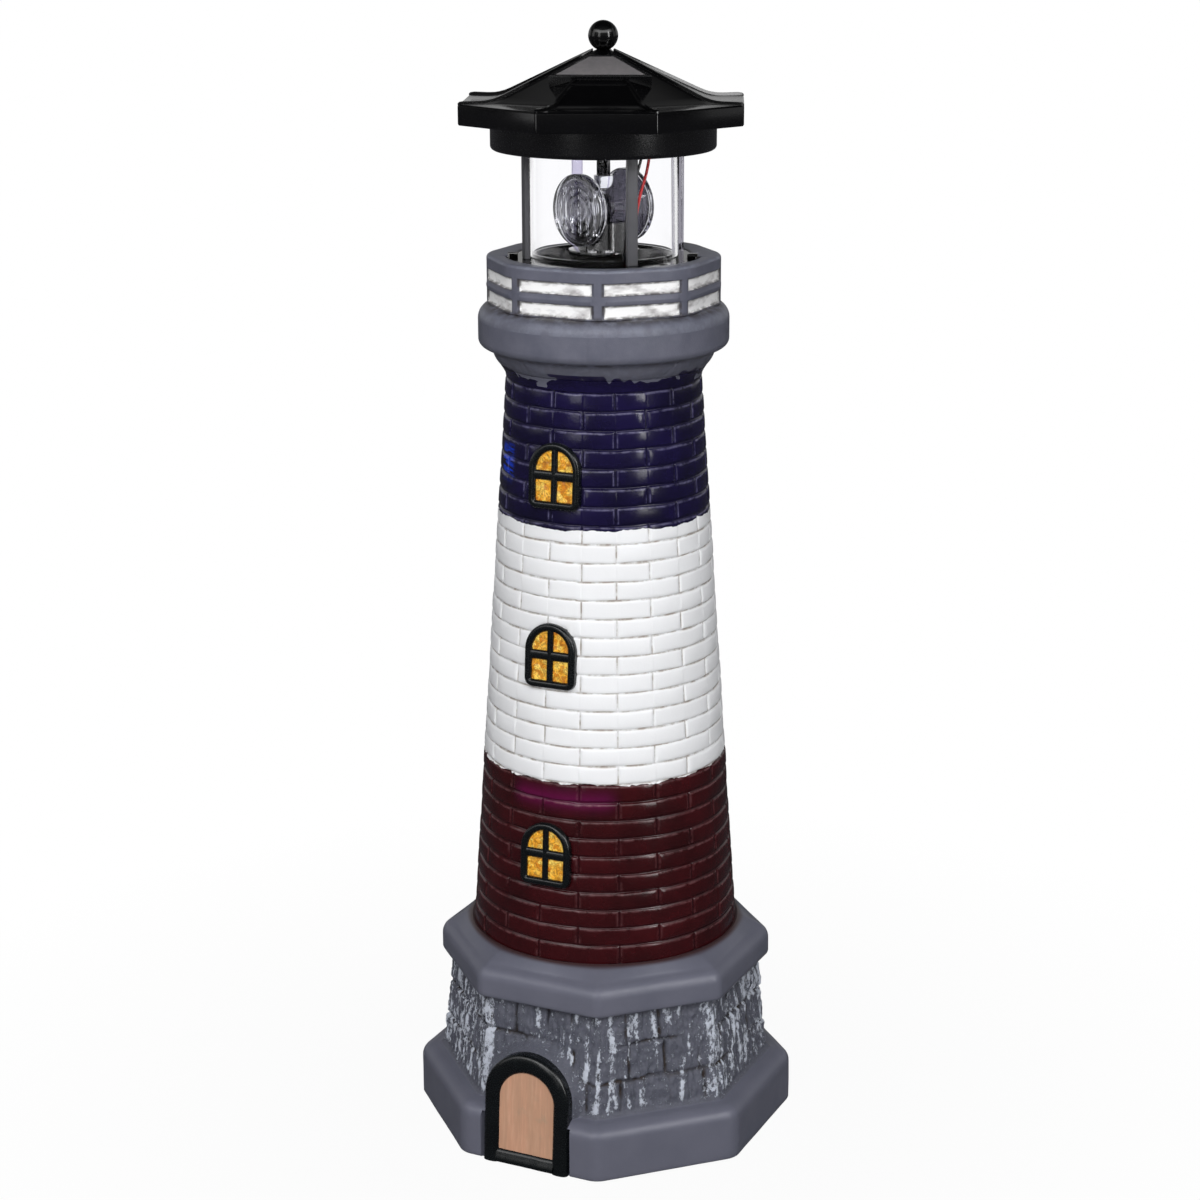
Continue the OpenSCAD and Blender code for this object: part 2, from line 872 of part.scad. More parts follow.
// Outline of a reflector: distance from the lens axis and distance from the middle.
reflector_plan = [[waist_r - 0.9 - reflector_t, 0], [waist_r, 0], [waist_r, 0.9],
    [waist_r - 0.9, 0.9], [lens_r - 0.2, lens_reach - lens_t],
    [lens_r - 0.2 - reflector_t, lens_reach - lens_t],
    [waist_r - 0.9 - reflector_t, 0.9]];

// Solid of both reflectors, to cut their seat into the column.
module reflector_room() {
    for (s = [0, 180])
        face(beacon_az + s)
            translate([0, 0, lens_z])
                rotate([90, 0, 0])
                    rotate_extrude()
                        polygon([[0, -0.1], [waist_r, -0.1], [waist_r, 0.9],
                            [waist_r - 0.8, 0.9], [lens_r, lens_reach - lens_t],
                            [lens_r, lens_reach + 3], [0, lens_reach + 3]]);
}

// Turning stand of the beacon: shaft, hub, disc and the column under the reflectors.
module turntable() {
    color("black")
        difference() {
            union() {
                translate([0, 0, gear_z - 0.6])
                    cylinder(r = shaft_r, h = hub_z - gear_z + 1);
                translate([0, 0, hub_z])
                    cylinder(r = hub_r, h = disc_z - hub_z + 1);
                translate([0, 0, disc_z])
                    cylinder(r = disc_r, h = disc_t);
                translate([0, 0, disc_z + disc_t - 0.1])
                    cylinder(r = column_r, h = column_top - disc_z - disc_t);
            }
            reflector_room();
        }
}

// Two eyelets on the turntable's disc.
module eyelets() {
    color("silver")
        for (x = eyelet_x)
            face(20 + x)
                translate([0, -eyelet_at, disc_z + disc_t])
                    difference() {
                        cylinder(r = eyelet_r, h = 0.6);
                        translate([0, 0, -1])
                            cylinder(r = 0.8, h = 3);
                    }
}

// Large gear on the turntable's shaft.
module beacon_gear() {
    color("white")
        difference() {
            translate([0, 0, gear_z])
                linear_extrude(gear_t)
                    gear_plan(gear_teeth);
            translate([0, 0, gear_z - 1])
                cylinder(r = shaft_r, h = gear_t + 2);
            translate([0, 0, gear_z - 1])
                difference() {
                    cylinder(r = 0.72 * gear_mod * gear_teeth / 2, h = 2.2);
                    cylinder(r = 5, h = 2.2);
                }
        }
}

// Clear funnel between the waist and one lens.
module reflector() {
    translate([0, 0, lens_z])
        rotate([90, 0, 0])
            rotate_extrude()
                polygon(reflector_plan);
}

module reflector_front() {
    color("lightcyan", 0.5)
        face(beacon_az)
            reflector();
}

module reflector_rear() {
    color("lightcyan", 0.5)
        face(beacon_az + 180)
            reflector();
}

// Round lens with a thick rim, a domed middle and upright ribs at the back.
module lens() {
    face_y = lens_reach - lens_t;
    translate([0, 0, lens_z])
        rotate([90, 0, 0])
            union() {
                rotate_extrude()
                    polygon(concat([[0, face_y + 0.9], [lens_r - 1.8, face_y + 0.9],
                        [lens_r - 1.4, face_y], [lens_r, face_y], [lens_r, lens_reach - 0.3],
                        [lens_r - 0.3, lens_reach], [lens_r - 1.4, lens_reach]],
                        [for (i = [1:5]) let(x = (lens_r - 1.4) * (1 - i / 5))
                            [x, lens_reach - 0.8 + 0.7 * (1 - pow(x / lens_r, 2))]]));
                for (x = [-8:4:8])
                    translate([x - 0.4, -8.5, face_y + 0.2])
                        cube([0.8, 17, 1]);
            }
}

module lens_front() {
    color("lightcyan", 0.4)
        face(beacon_az)
            lens();
}

module lens_rear() {
    color("lightcyan", 0.4)
        face(beacon_az + 180)
            lens();
}

// Flanged bush that the shaft turns in.
module shaft_bush() {
    color("goldenrod")
        difference() {
            union() {
                translate([0, 0, under_z])
                    cylinder(r = bush_r, h = floor_t);
                translate([0, 0, cup_floor_z])
                    cylinder(r = bush_r + 1.4, h = 0.6);
            }
            translate([0, 0, under_z - 1])
                cylinder(r = shaft_r + shaft_gap, h = floor_t + 3);
        }
}

// -------------------------------------------------------------------- Drive
plate_z = gear_z - 4.2;
plate_t = 2;
motor_r = 8;
motor_h = 20;
motor_z = plate_z - motor_h;
pin_r = 0.75;
cell_r = 5.25;
lug_t = 1;
lug_w = 6;
standoff_r = 2.2;
can_screw_r = 1.1;
can_screw_head_r = 2.1;
can_screw_l = 9;
cell_l = 1.556 * can_in_r;
cell_x = 8;
cell_z = can_z + lower_cover_t + 1 + cell_r;
board_y = -18.6;
board_t = 1.6;
board_h = 17;
board_w = 26.8;
hatch_w = 12;
hatch_l = cell_l + 1.4;
contact_t = 0.4;
spring_l = 1.9;
switch_x = -12;
switch_w = 8;
switch_l = 13;
switch_h = 5;
slider_w = 3;
slider_travel = 3;

// Plate under the floor that carries the motor and the circuit board.
module motor_plate() {
    color("white")
        difference() {
            union() {
                translate([0, 0, plate_z])
                    cylinder(r = can_in_r - fit, h = plate_t);
                for (a = [75, 115, 245, 300])
                    rotate([0, 0, a])
                        translate([can_in_r - 4.5, 0, plate_z + plate_t - 0.5])
                            cylinder(r = standoff_r, h = under_z - plate_z - plate_t + 0.5);
            }
            for (a = boss_angles)
                rotate([0, 0, a])
                    translate([boss_at, 0, plate_z - 1])
                        cylinder(r = 3 + fit, h = plate_t + 2);
            translate([-gear_centres, 0, plate_z - 1])
                cylinder(r = 3 + fit, h = plate_t + 2);
            for (p = [at_az(24.8, red_az + 2, plate_z - 1), at_az(24.8, black_az, plate_z - 1)])
                translate(p)
                    cylinder(r = wire_hole_r, h = plate_t + 2);
        }
}

// Small motor with a boss at the top.
module motor() {
    color("silver")
        translate([-gear_centres, 0, 0])
            difference() {
                union() {
                    translate([0, 0, motor_z])
                        cylinder(r = motor_r, h = motor_h);
                    translate([0, 0, plate_z - 0.5])
                        cylinder(r = 3, h = 2);
                    translate([0, 0, motor_z - 1.2])
                        cylinder(r = 3, h = 1.4);
                }
                translate([0, 0, plate_z - 8])
                    cylinder(r = pin_r + shaft_gap, h = 12);
            }
}

// Pinion on the motor's shaft, meshing with the large gear.
module motor_pinion() {
    color("white")
        translate([-gear_centres, 0, 0])
            union() {
                translate([0, 0, gear_z])
                    linear_extrude(gear_t)
                        rotate([0, 0, 180 / pinion_teeth])
                            gear_plan(pinion_teeth);
                translate([0, 0, plate_z - 7.5])
                    cylinder(r = pin_r, h = gear_z - plate_z + 8);
            }
}

// Circuit board that charges the cell and drives the motor and the lamp.
module circuit_board() {
    color("green")
        union() {
            translate([-12, board_y, plate_z - board_h])
                cube([board_w, board_t, board_h]);
            translate([-8, board_y + board_t - 0.2, plate_z - 12])
                cube([7, 2.2, 6]);
            translate([2, board_y + board_t - 0.2, plate_z - 8])
                cube([4, 3.2, 4]);
        }
}

// Rechargeable cell.
module battery() {
    color("green")
        translate([cell_x, -cell_l / 2, cell_z])
            rotate([-90, 0, 0])
                union() {
                    cylinder(r = cell_r, h = cell_l - 1.2);
                    cylinder(r = 1.9, h = cell_l);
                }
}

// Spring contact at the cell's flat end.
module contact_spring() {
    y = -cell_l / 2;
    color("silver")
        union() {
            translate([cell_x - 3.5, y - spring_l - contact_t, cell_z - 3.5])
                cube([7, contact_t, 7]);
            tube([for (i = [0:30])
                [cell_x + (2.6 - 0.03 * i) * cos(36 * i), y - spring_l - 0.1 + 0.058 * i,
                cell_z + (2.6 - 0.03 * i) * sin(36 * i)]], 0.25, [0, 1, 0.05], 6);
        }
}

// Plate contact at the cell's button end.
module contact_plate() {
    color("silver")
        translate([cell_x - 3.5, cell_l / 2, cell_z - 3.5])
            cube([7, contact_t, 7]);
}

// Cover of the can, with the hatch opening and the slot of the switch.
module lower_cover() {
    color("black")
        difference() {
            union() {
                translate([0, 0, can_z])
                    cylinder(r = can_in_r - fit / 2, h = lower_cover_t);
                for (y = [-cell_l / 2 - spring_l - contact_t - lug_t, cell_l / 2 + contact_t])
                    translate([cell_x - lug_w / 2, y, can_z + 1])
                        cube([lug_w, lug_t, cell_r + 1]);
            }
            translate([cell_x - hatch_w / 2, -hatch_l / 2, can_z - 1])
                cube([hatch_w, hatch_l, lower_cover_t + 2]);
            for (a = boss_angles)
                rotate([0, 0, a])
                    translate([boss_at, 0, can_z - 1]) {
                        cylinder(r = can_screw_r, h = lower_cover_t + 2);
                        cylinder(r = can_screw_head_r, h = lower_cover_t / 2 + 1);
                    }
            translate([switch_x - slider_w / 2 - 0.5, -slider_w / 2 - 0.5, can_z - 1])
                cube([slider_w + 1, slider_w + slider_travel + 1, lower_cover_t + 2]);
        }
}

// Three screws of the can's cover.
module lower_cover_screws() {
    color("silver")
        for (a = boss_angles)
            rotate([0, 0, a])
                translate([boss_at, 0, can_z]) {
                    cylinder(r = can_screw_head_r, h = lower_cover_t / 2);
                    cylinder(r = can_screw_r, h = can_screw_l);
                }
}

// Hatch that drops away from under the cell.
module battery_hatch() {
    color("dimgray")
        union() {
            translate([cell_x - hatch_w / 2 + 0.35, -hatch_l / 2 + 0.35, can_z])
                cube([hatch_w - 0.7, hatch_l - 0.7, lower_cover_t]);
            translate([cell_x - 3, -1, can_z - 0.8])
                cube([6, 2, 1]);
        }
}

// Body of the on-off switch.
module switch_body() {
    color("black")
        difference() {
            translate([switch_x - switch_w / 2, 1.5 - switch_l / 2, can_z + lower_cover_t])
                cube([switch_w, switch_l, switch_h]);
            translate([switch_x - slider_w / 2 - 0.4, -slider_w / 2 - 0.4, can_z])
                cube([slider_w + 0.8, slider_w + slider_travel + 0.8, lower_cover_t + 3.2]);
        }
}

// Slider of the on-off switch.
module switch_slider() {
    color("white")
        translate([switch_x - slider_w / 2, -slider_w / 2, can_z - 1.2])
            cube([slider_w, slider_w, lower_cover_t + 3.8]);
}

// -------------------------------------------------------------------- Wires
wire_r = 0.55;
red_path = [[5, -11, apex_z - 12], [10, -14, apex_z - 18], [18, -11, eave_z + 3],
    [22.9, -9.7, ceiling_z + 5], [22.9, -9.7, ceiling_z - 1], [22.4, -11.5, ceiling_z - 8],
    [20.8, -13.7, lens_z + 6], [19.6, -15.4, lens_z - 5], [18.4, -15.3, flange_z + 2],
    [16.4, -13.8, cup_floor_z + 1], [16.5, -14, under_z - 2], [19.5, -15.3, plate_z + 5],
    [19.6, -15.3, plate_z - 2], [14, -15.6, plate_z - 8], [10, -16.3, plate_z - 10]];
black_path = [[1, -11, apex_z - 12], [6, -16, apex_z - 18], [15, -14, eave_z + 3],
    [21.3, -12.8, ceiling_z + 5], [21.3, -12.8, ceiling_z - 1], [20.2, -14.8, ceiling_z - 8],
    [18.2, -16.8, lens_z + 6], [17.3, -17.8, lens_z - 5], [16.2, -17.3, flange_z + 2],
    [14, -16.2, cup_floor_z + 1], [14.1, -16.4, under_z - 2], [16.2, -18.7, plate_z + 5],
    [16.3, -18.7, plate_z - 1], [15.7, -16.4, plate_z - 5], [12, -16.3, plate_z - 6]];

// Smooth curve through the points p, with n pieces between two points.
function smooth_path(p, n) = concat([for (i = [0:len(p) - 2]) for (j = [0:n - 1])
    let(a = p[max(i - 1, 0)], b = p[i], c = p[i + 1], d = p[min(i + 2, len(p) - 1)], t = j / n)
    b + t * ((c - a) / 2 + t * (a - 2.5 * b + 2 * c - 0.5 * d
        + t * (1.5 * b - 1.5 * c + 0.5 * d - 0.5 * a)))], [p[len(p) - 1]]);

// Round bar of radius r and m sides along the points p. No part of p runs along side.
module tube(p, r, side, m = 8) {
    n = len(p);
    points = [for (i = [0:n - 1])
        let(t = p[min(i + 1, n - 1)] - p[max(i - 1, 0)],
            u = cross(t, side) / norm(cross(t, side)), v = cross(u, t) / norm(t))
        for (k = [0:m - 1])
            p[i] + r * cos(360 * k / m) * u + r * sin(360 * k / m) * v];
    sides = [for (i = [0:n - 2]) for (k = [0:m - 1])
        let(a = i * m + k, b = i * m + (k + 1) % m)
        each [[a, b, a + m], [b, b + m, a + m]]];
    polyhedron(points, concat([[for (k = [m - 1:-1:0]) k]], [[for (k = [0:m - 1]) (n - 1) * m + k]],
        sides), convexity = 8);
}

// Wire from the solar panel to the board.
module wire_red() {
    color("red")
        tube(smooth_path(red_path, 4), wire_r, [-0.5, 0.8, 0.1]);
}

// Its black neighbour.
module wire_black() {
    color("black")
        tube(smooth_path(black_path, 4), wire_r, [-0.5, 0.8, 0.1]);
}

base_shell();
bottom_cover();
cover_screws();
foot_pad_1();
foot_pad_2();
foot_pad_3();
foot_pad_4();
tower_shell();
gallery_deck();
door_frame();
door_panel();
window_frame_low();
window_frame_mid();
window_frame_high();
window_pane_low();
window_pane_mid();
window_pane_high();
lantern_base();
lantern_glass();
post_1();
post_2();
post_3();
post_4();
ceiling_plate();
roof_collar();
roof_shell();
solar_frame();
solar_panel();
finial();
lamp_holder();
lamp_lens();
turntable();
eyelets();
beacon_gear();
reflector_front();
reflector_rear();
lens_front();
lens_rear();
shaft_bush();
motor_plate();
motor();
motor_pinion();
circuit_board();
battery();
contact_spring();
contact_plate();
lower_cover();
lower_cover_screws();
battery_hatch();
switch_body();
switch_slider();
wire_red();
wire_black();
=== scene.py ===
import json
import math
import random

import bmesh
import bpy
from mathutils import Matrix, Vector, noise

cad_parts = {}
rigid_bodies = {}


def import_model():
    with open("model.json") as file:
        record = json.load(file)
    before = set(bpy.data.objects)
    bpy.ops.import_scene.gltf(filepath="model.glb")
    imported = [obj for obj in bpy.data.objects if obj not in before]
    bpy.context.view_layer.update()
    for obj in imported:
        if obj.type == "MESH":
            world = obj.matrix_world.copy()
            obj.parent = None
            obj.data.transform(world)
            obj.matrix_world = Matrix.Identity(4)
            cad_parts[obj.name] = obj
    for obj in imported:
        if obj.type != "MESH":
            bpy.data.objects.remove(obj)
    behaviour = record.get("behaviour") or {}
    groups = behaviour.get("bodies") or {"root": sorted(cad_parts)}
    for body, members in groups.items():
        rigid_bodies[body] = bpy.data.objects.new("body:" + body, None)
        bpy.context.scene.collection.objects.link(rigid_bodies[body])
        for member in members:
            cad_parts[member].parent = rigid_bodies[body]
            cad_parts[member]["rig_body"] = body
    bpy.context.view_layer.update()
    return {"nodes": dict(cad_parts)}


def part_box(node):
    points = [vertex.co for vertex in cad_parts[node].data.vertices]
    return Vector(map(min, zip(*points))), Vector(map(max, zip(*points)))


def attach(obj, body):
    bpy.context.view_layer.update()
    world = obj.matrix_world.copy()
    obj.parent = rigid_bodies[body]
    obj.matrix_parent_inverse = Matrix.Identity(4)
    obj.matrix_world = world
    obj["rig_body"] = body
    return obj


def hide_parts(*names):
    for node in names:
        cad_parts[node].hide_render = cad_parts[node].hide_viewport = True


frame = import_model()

bl_info = {
    "name": "Garden lighthouse",
    "version": (1, 0, 0),
    "blender": (4, 5, 0),
    "location": "3D view > Sidebar > Lighthouse",
    "description": "Paint, brickwork, stone and clear plastic of a solar garden lighthouse",
    "category": "Object",
}

# Lengths are millimetres in the shapes and metres in the shaders and on the stage.
MM = 0.001


def srgb(r, g, b):
    """Colour written as 0 to 255 per channel, for a shader."""
    out = []
    for c in (r, g, b):
        c /= 255
        out.append(c / 12.92 if c <= 0.04045 else ((c + 0.055) / 1.055) ** 2.4)
    return (*out, 1.0)


# ---------------------------------------------------------------- Settings


def colour_setting(name, description, *colour):
    return bpy.props.FloatVectorProperty(name=name, description=description, subtype="COLOR",
                                         size=4, min=0, max=1, default=srgb(*colour))


def depth_setting(name, description, depth, most):
    return bpy.props.FloatProperty(name=name, description=description, unit="LENGTH",
                                   min=0, max=most, default=depth)


class LighthousePaint(bpy.types.PropertyGroup):
    """Colours of the painted parts."""

    red: colour_setting("Red band", "Translucent paint of the lowest bricks", 58, 13, 17)
    white: colour_setting("White band", "Paint of the middle bricks", 236, 237, 239)
    blue: colour_setting("Blue band", "Translucent paint of the top bricks", 24, 18, 56)
    grey: colour_setting("Stone grey", "Paint of the stone base and the gallery", 100, 101, 114)
    amber: colour_setting("Window amber", "Colour of the window panes", 243, 176, 44)
    door: colour_setting("Door", "Colour of the door leaf", 196, 148, 120)


class LighthouseRelief(bpy.types.PropertyGroup):
    """Depths of the moulded relief."""

    joint_depth: depth_setting("Joint depth", "Depth of the joints between the bricks", 0.6 * MM, 0.002)
    brick_uneven: depth_setting("Uneven bricks", "How far a brick stands in or out", 0.12 * MM, 0.001)
    stone_depth: depth_setting("Stone depth", "Depth of the chipped stone wall", 0.9 * MM, 0.003)
    # The brushed white includes the wall's painted highlights, so this setting scales them too.
    wear: bpy.props.FloatProperty(
        name="Dry brushing", description="Amount of white brushed over the stone wall",
        subtype="FACTOR", min=0, max=1, default=0.36)


class LighthouseStage(bpy.types.PropertyGroup):
    """Camera and lamps."""

    azimuth: bpy.props.FloatProperty(
        name="Camera direction", description="Direction of the camera, from the door to the right",
        subtype="ANGLE", default=math.radians(25.3))
    distance: bpy.props.FloatProperty(
        name="Camera distance", description="Level distance from the tower's axis",
        unit="LENGTH", default=0.9563)
    height: bpy.props.FloatProperty(
        name="Camera height", description="Height of the camera over the ground",
        unit="LENGTH", default=0.4844)
    pitch: bpy.props.FloatProperty(
        name="Camera pitch", description="How far the camera looks down",
        subtype="ANGLE", default=0.278886)
    roll: bpy.props.FloatProperty(
        name="Camera roll", description="How far the camera leans to one side",
        subtype="ANGLE", default=-0.0022)
    lens: bpy.props.FloatProperty(
        name="Lens", description="Focal length in millimetres", default=77.076)
    front: bpy.props.FloatProperty(
        name="Front lamp", description="Strength of the softbox over the camera", default=19.2)
    key: bpy.props.FloatProperty(
        name="Key lamp", description="Strength of the tall softbox on the right", default=4.2)
    fill: bpy.props.FloatProperty(
        name="Fill lamp", description="Strength of the narrow softbox on the left", default=2.2)


def paint(name):
    return tuple(getattr(bpy.context.scene.lighthouse_paint, name))


def relief_settings():
    return bpy.context.scene.lighthouse_relief


# ------------------------------------------------------------- Shader tools


def shader_colour(value):
    """Three numbers are a colour of 0 to 255 per channel; anything else stays as it is."""
    return srgb(*value) if isinstance(value, tuple) and len(value) == 3 else value


class Web:
    """Short ways to lay nodes in a shader tree."""

    def __init__(self, tree):
        self.tree = tree

    def add(self, kind, **values):
        node = self.tree.nodes.new(kind)
        for key, value in values.items():
            setattr(node, key, value)
        return node

    def join(self, source, target):
        self.tree.links.new(source, target)

    def feed(self, socket, value):
        if isinstance(value, bpy.types.NodeSocket):
            self.join(value, socket)
        else:
            socket.default_value = shader_colour(value)

    def place(self):
        """Position in the piece's own space, in metres."""
        return self.add("ShaderNodeTexCoord").outputs["Object"]

    def stretch(self, scale, turn=(0, 0, 0)):
        node = self.add("ShaderNodeMapping")
        self.join(self.place(), node.inputs["Vector"])
        node.inputs["Scale"].default_value = scale
        node.inputs["Rotation"].default_value = turn
        return node.outputs["Vector"]

    def noise(self, size, detail=3.0, rough=0.55, where=None, distort=0.0):
        """Soft noise with lumps about size metres across; a socket gives lumps per metre."""
        node = self.add("ShaderNodeTexNoise")
        self.join(where or self.place(), node.inputs["Vector"])
        self.feed(node.inputs["Scale"], size if isinstance(size, bpy.types.NodeSocket) else 1 / size)
        node.inputs["Detail"].default_value = detail
        node.inputs["Roughness"].default_value = rough
        node.inputs["Distortion"].default_value = distort
        return node.outputs["Fac"]

    def ramp(self, value, stops):
        node = self.add("ShaderNodeValToRGB")
        self.feed(node.inputs["Fac"], value)
        bar = node.color_ramp
        while len(bar.elements) < len(stops):
            bar.elements.new(0.5)
        for element, (at, colour) in zip(bar.elements, stops):
            element.position = at
            element.color = shader_colour(colour) if isinstance(colour, tuple) else (colour,) * 3 + (1,)
        return node.outputs["Color"]

    def span(self, value, low, high, to_low=0.0, to_high=1.0):
        node = self.add("ShaderNodeMapRange")
        for i, v in enumerate((value, low, high, to_low, to_high)):
            self.feed(node.inputs[i], v)
        return node.outputs["Result"]

    def mix(self, amount, a, b, blend="MIX"):
        node = self.add("ShaderNodeMix", data_type="RGBA", blend_type=blend)
        self.feed(node.inputs[0], amount)
        self.feed(node.inputs[6], a)
        self.feed(node.inputs[7], b)
        return node.outputs[2]

    def over(self, below, colour, mask, share=None):
        """Colour laid over another one by a share of the mask."""
        return self.mix(mask if share is None else self.times(mask, share), below, colour)

    def calc(self, how, a, b):
        node = self.add("ShaderNodeMath", operation=how)
        self.feed(node.inputs[0], a)
        self.feed(node.inputs[1], b)
        return node.outputs[0]

    def times(self, a, b):
        return self.calc("MULTIPLY", a, b)

    def plus(self, a, b):
        return self.calc("ADD", a, b)

    def minus(self, a, b):
        return self.calc("SUBTRACT", a, b)

    def reach(self, a, b):
        """Length of the line across the sides a and b."""
        return self.calc("POWER", self.plus(self.times(a, a), self.times(b, b)), 0.5)

    def mark(self, name):
        """Value that the mesh carries under this name."""
        return self.add("ShaderNodeAttribute", attribute_name=name).outputs["Fac"]

    def split(self, vector):
        node = self.add("ShaderNodeSeparateXYZ")
        self.join(vector, node.inputs[0])
        return node.outputs

    def use(self, group, **inputs):
        node = self.add("ShaderNodeGroup", node_tree=groups[group])
        for key, value in inputs.items():
            self.feed(node.inputs[key.replace("_", " ")], value)
        return node.outputs


finishes = {}
groups = {}


class Finish(Web):
    """A material with its Principled shader."""

    def __init__(self, name, **plain):
        self.material = bpy.data.materials.new(name)
        self.material.use_nodes = True
        super().__init__(self.material.node_tree)
        self.shader = self.tree.nodes["Principled BSDF"]
        for key, value in plain.items():
            self.shader.inputs[key.replace("_", " ")].default_value = value
        finishes[name] = self.material

    def set(self, socket, value):
        self.feed(self.shader.inputs[socket], value)

    def bump(self, height, depth, strength=1.0):
        node = self.add("ShaderNodeBump")
        node.inputs["Distance"].default_value = depth
        node.inputs["Strength"].default_value = strength
        self.join(height, node.inputs["Height"])
        self.join(node.outputs["Normal"], self.shader.inputs["Normal"])

    def mottle(self, colour, shade, lumps, amount):
        return self.use("mottle", Colour=colour, Shade=shade, Lumps_per_metre=lumps, Amount=amount)["Colour"]

    def grain(self, grains, waves, share):
        return self.use("grain", Grains_per_metre=grains, Waves_per_metre=waves, Wave_share=share)


def new_group(key, name, inputs, outputs):
    """Empty node group with named sockets; returns its web, its inputs and its outputs."""
    tree = bpy.data.node_groups.new(name, "ShaderNodeTree")
    groups[key] = tree
    for label, kind, value in inputs:
        socket = tree.interface.new_socket(name=label, in_out="INPUT", socket_type=kind)
        socket.default_value = value
    for label, kind in outputs:
        tree.interface.new_socket(name=label, in_out="OUTPUT", socket_type=kind)
    web = Web(tree)
    return web, web.add("NodeGroupInput").outputs, web.add("NodeGroupOutput").inputs


COLOUR, VALUE = "NodeSocketColor", "NodeSocketFloat"


def make_groups():
    """Effects that several finishes share."""
    web, source, target = new_group(
        "mottle", "Mottled colour",
        [("Colour", COLOUR, (1, 1, 1, 1)), ("Shade", COLOUR, (0, 0, 0, 1)),
         ("Lumps per metre", VALUE, 200.0), ("Amount", VALUE, 0.3)],
        [("Colour", COLOUR)])
    lump = web.noise(source["Lumps per metre"], 4.0, 0.6)
    amount = web.times(web.span(lump, 0.35, 0.7), source["Amount"])
    web.join(web.mix(amount, source["Colour"], source["Shade"]), target["Colour"])

    web, source, target = new_group(
        "grain", "Moulded grain",
        [("Grains per metre", VALUE, 2500.0), ("Waves per metre", VALUE, 150.0),
         ("Wave share", VALUE, 0.5)],
        [("Height", VALUE), ("Gloss change", VALUE)])
    grain = web.noise(source["Grains per metre"], 2.0, 0.5)
    blend = web.add("ShaderNodeMix", data_type="FLOAT")
    web.join(source["Wave share"], blend.inputs[0])
    web.join(grain, blend.inputs[2])
    web.join(web.noise(source["Waves per metre"], 2.0, 0.4), blend.inputs[3])
    web.join(blend.outputs[0], target["Height"])
    web.join(web.span(grain, 0.3, 0.7, -0.05, 0.05), target["Gloss change"])

    web, source, target = new_group(
        "worn", "Worn edge",
        [("Colour", COLOUR, (1, 1, 1, 1)), ("Worn", COLOUR, (1, 1, 1, 1)),
         ("Edge", VALUE, 0.0), ("Amount", VALUE, 0.5), ("Breaks per metre", VALUE, 300.0)],
        [("Colour", COLOUR), ("Mask", VALUE)])
    breaks = web.noise(source["Breaks per metre"], 5.0, 0.65)
    mask = web.times(web.times(source["Edge"], web.span(breaks, 0.38, 0.62)), source["Amount"])
    web.join(web.mix(mask, source["Colour"], source["Worn"]), target["Colour"])
    web.join(mask, target["Mask"])


# ---------------------------------------------------------------- Finishes

# Heights of the paint's edges on the tower, and the width over which they fade.
WHITE_FOOT, NAVY_FOOT, PAINT_FADE = 0.15125, 0.2483, 0.00015
GREY_LOW, GREY_HIGH = 0.3003, 0.3062
# Width of one ring of the ribbed lenses, and of the strips of the solar panel.
LENS_RING, SOLAR_STRIP = 0.0026, 0.0055


def grey_line(look):
    """Ragged height at which the gallery's grey paint starts."""
    return look.span(look.noise(0.013, 2.0, 0.5, distort=0.6), 0.42, 0.6, GREY_LOW, GREY_HIGH)


def make_stone_finish():
    """Grey paint of the base, with the dry-brushed stone wall, its painted highlights and painted shade at
    the tower's foot.
    """
    look = Finish("stone paint")
    wall, gap = look.mark("wall"), look.mark("gap")
    chips = look.noise(0.0012, 6.0, 0.8, look.stretch((1, 1, 0.62)))
    # The brushed white also carries painted highlights: down one lit corner and under each bed joint.
    brushed = look.plus(look.span(chips, 0.2, 0.8, -0.02, 0.94),
                        look.times(look.mark("brush_and_highlight"), relief_settings().wear))
    brushed = look.times(look.span(brushed, 0.62, 0.7), wall)
    rust = look.times(gap, look.span(look.noise(0.004, 3.0), 0.46, 0.56))
    colour = look.mottle(paint("grey"), (84, 87, 100), 60.0, 0.4)
    colour = look.over(colour, (72, 75, 84), wall, look.span(chips, 0.35, 0.65))
    colour = look.over(colour, (34, 33, 36), gap, 0.85)
    colour = look.over(colour, (52, 40, 30), rust, 0.8)
    # Painted shade: reddish-brown darkening where the base's slope runs under the tower.
    colour = look.over(colour, (58, 40, 42), look.mark("foot"))
    look.set("Base Color", look.over(colour, (206, 212, 224), brushed, 0.86))
    look.set("Roughness", look.plus(look.span(brushed, 0, 1, 0.36, 0.7), look.times(gap, 0.3)))
    height = look.plus(look.times(look.grain(2600.0, 140.0, 0.6)["Height"], 0.4), look.times(brushed, 0.7))
    look.bump(look.plus(height, look.times(look.times(chips, wall), 2.0)), 0.0004, 0.6)


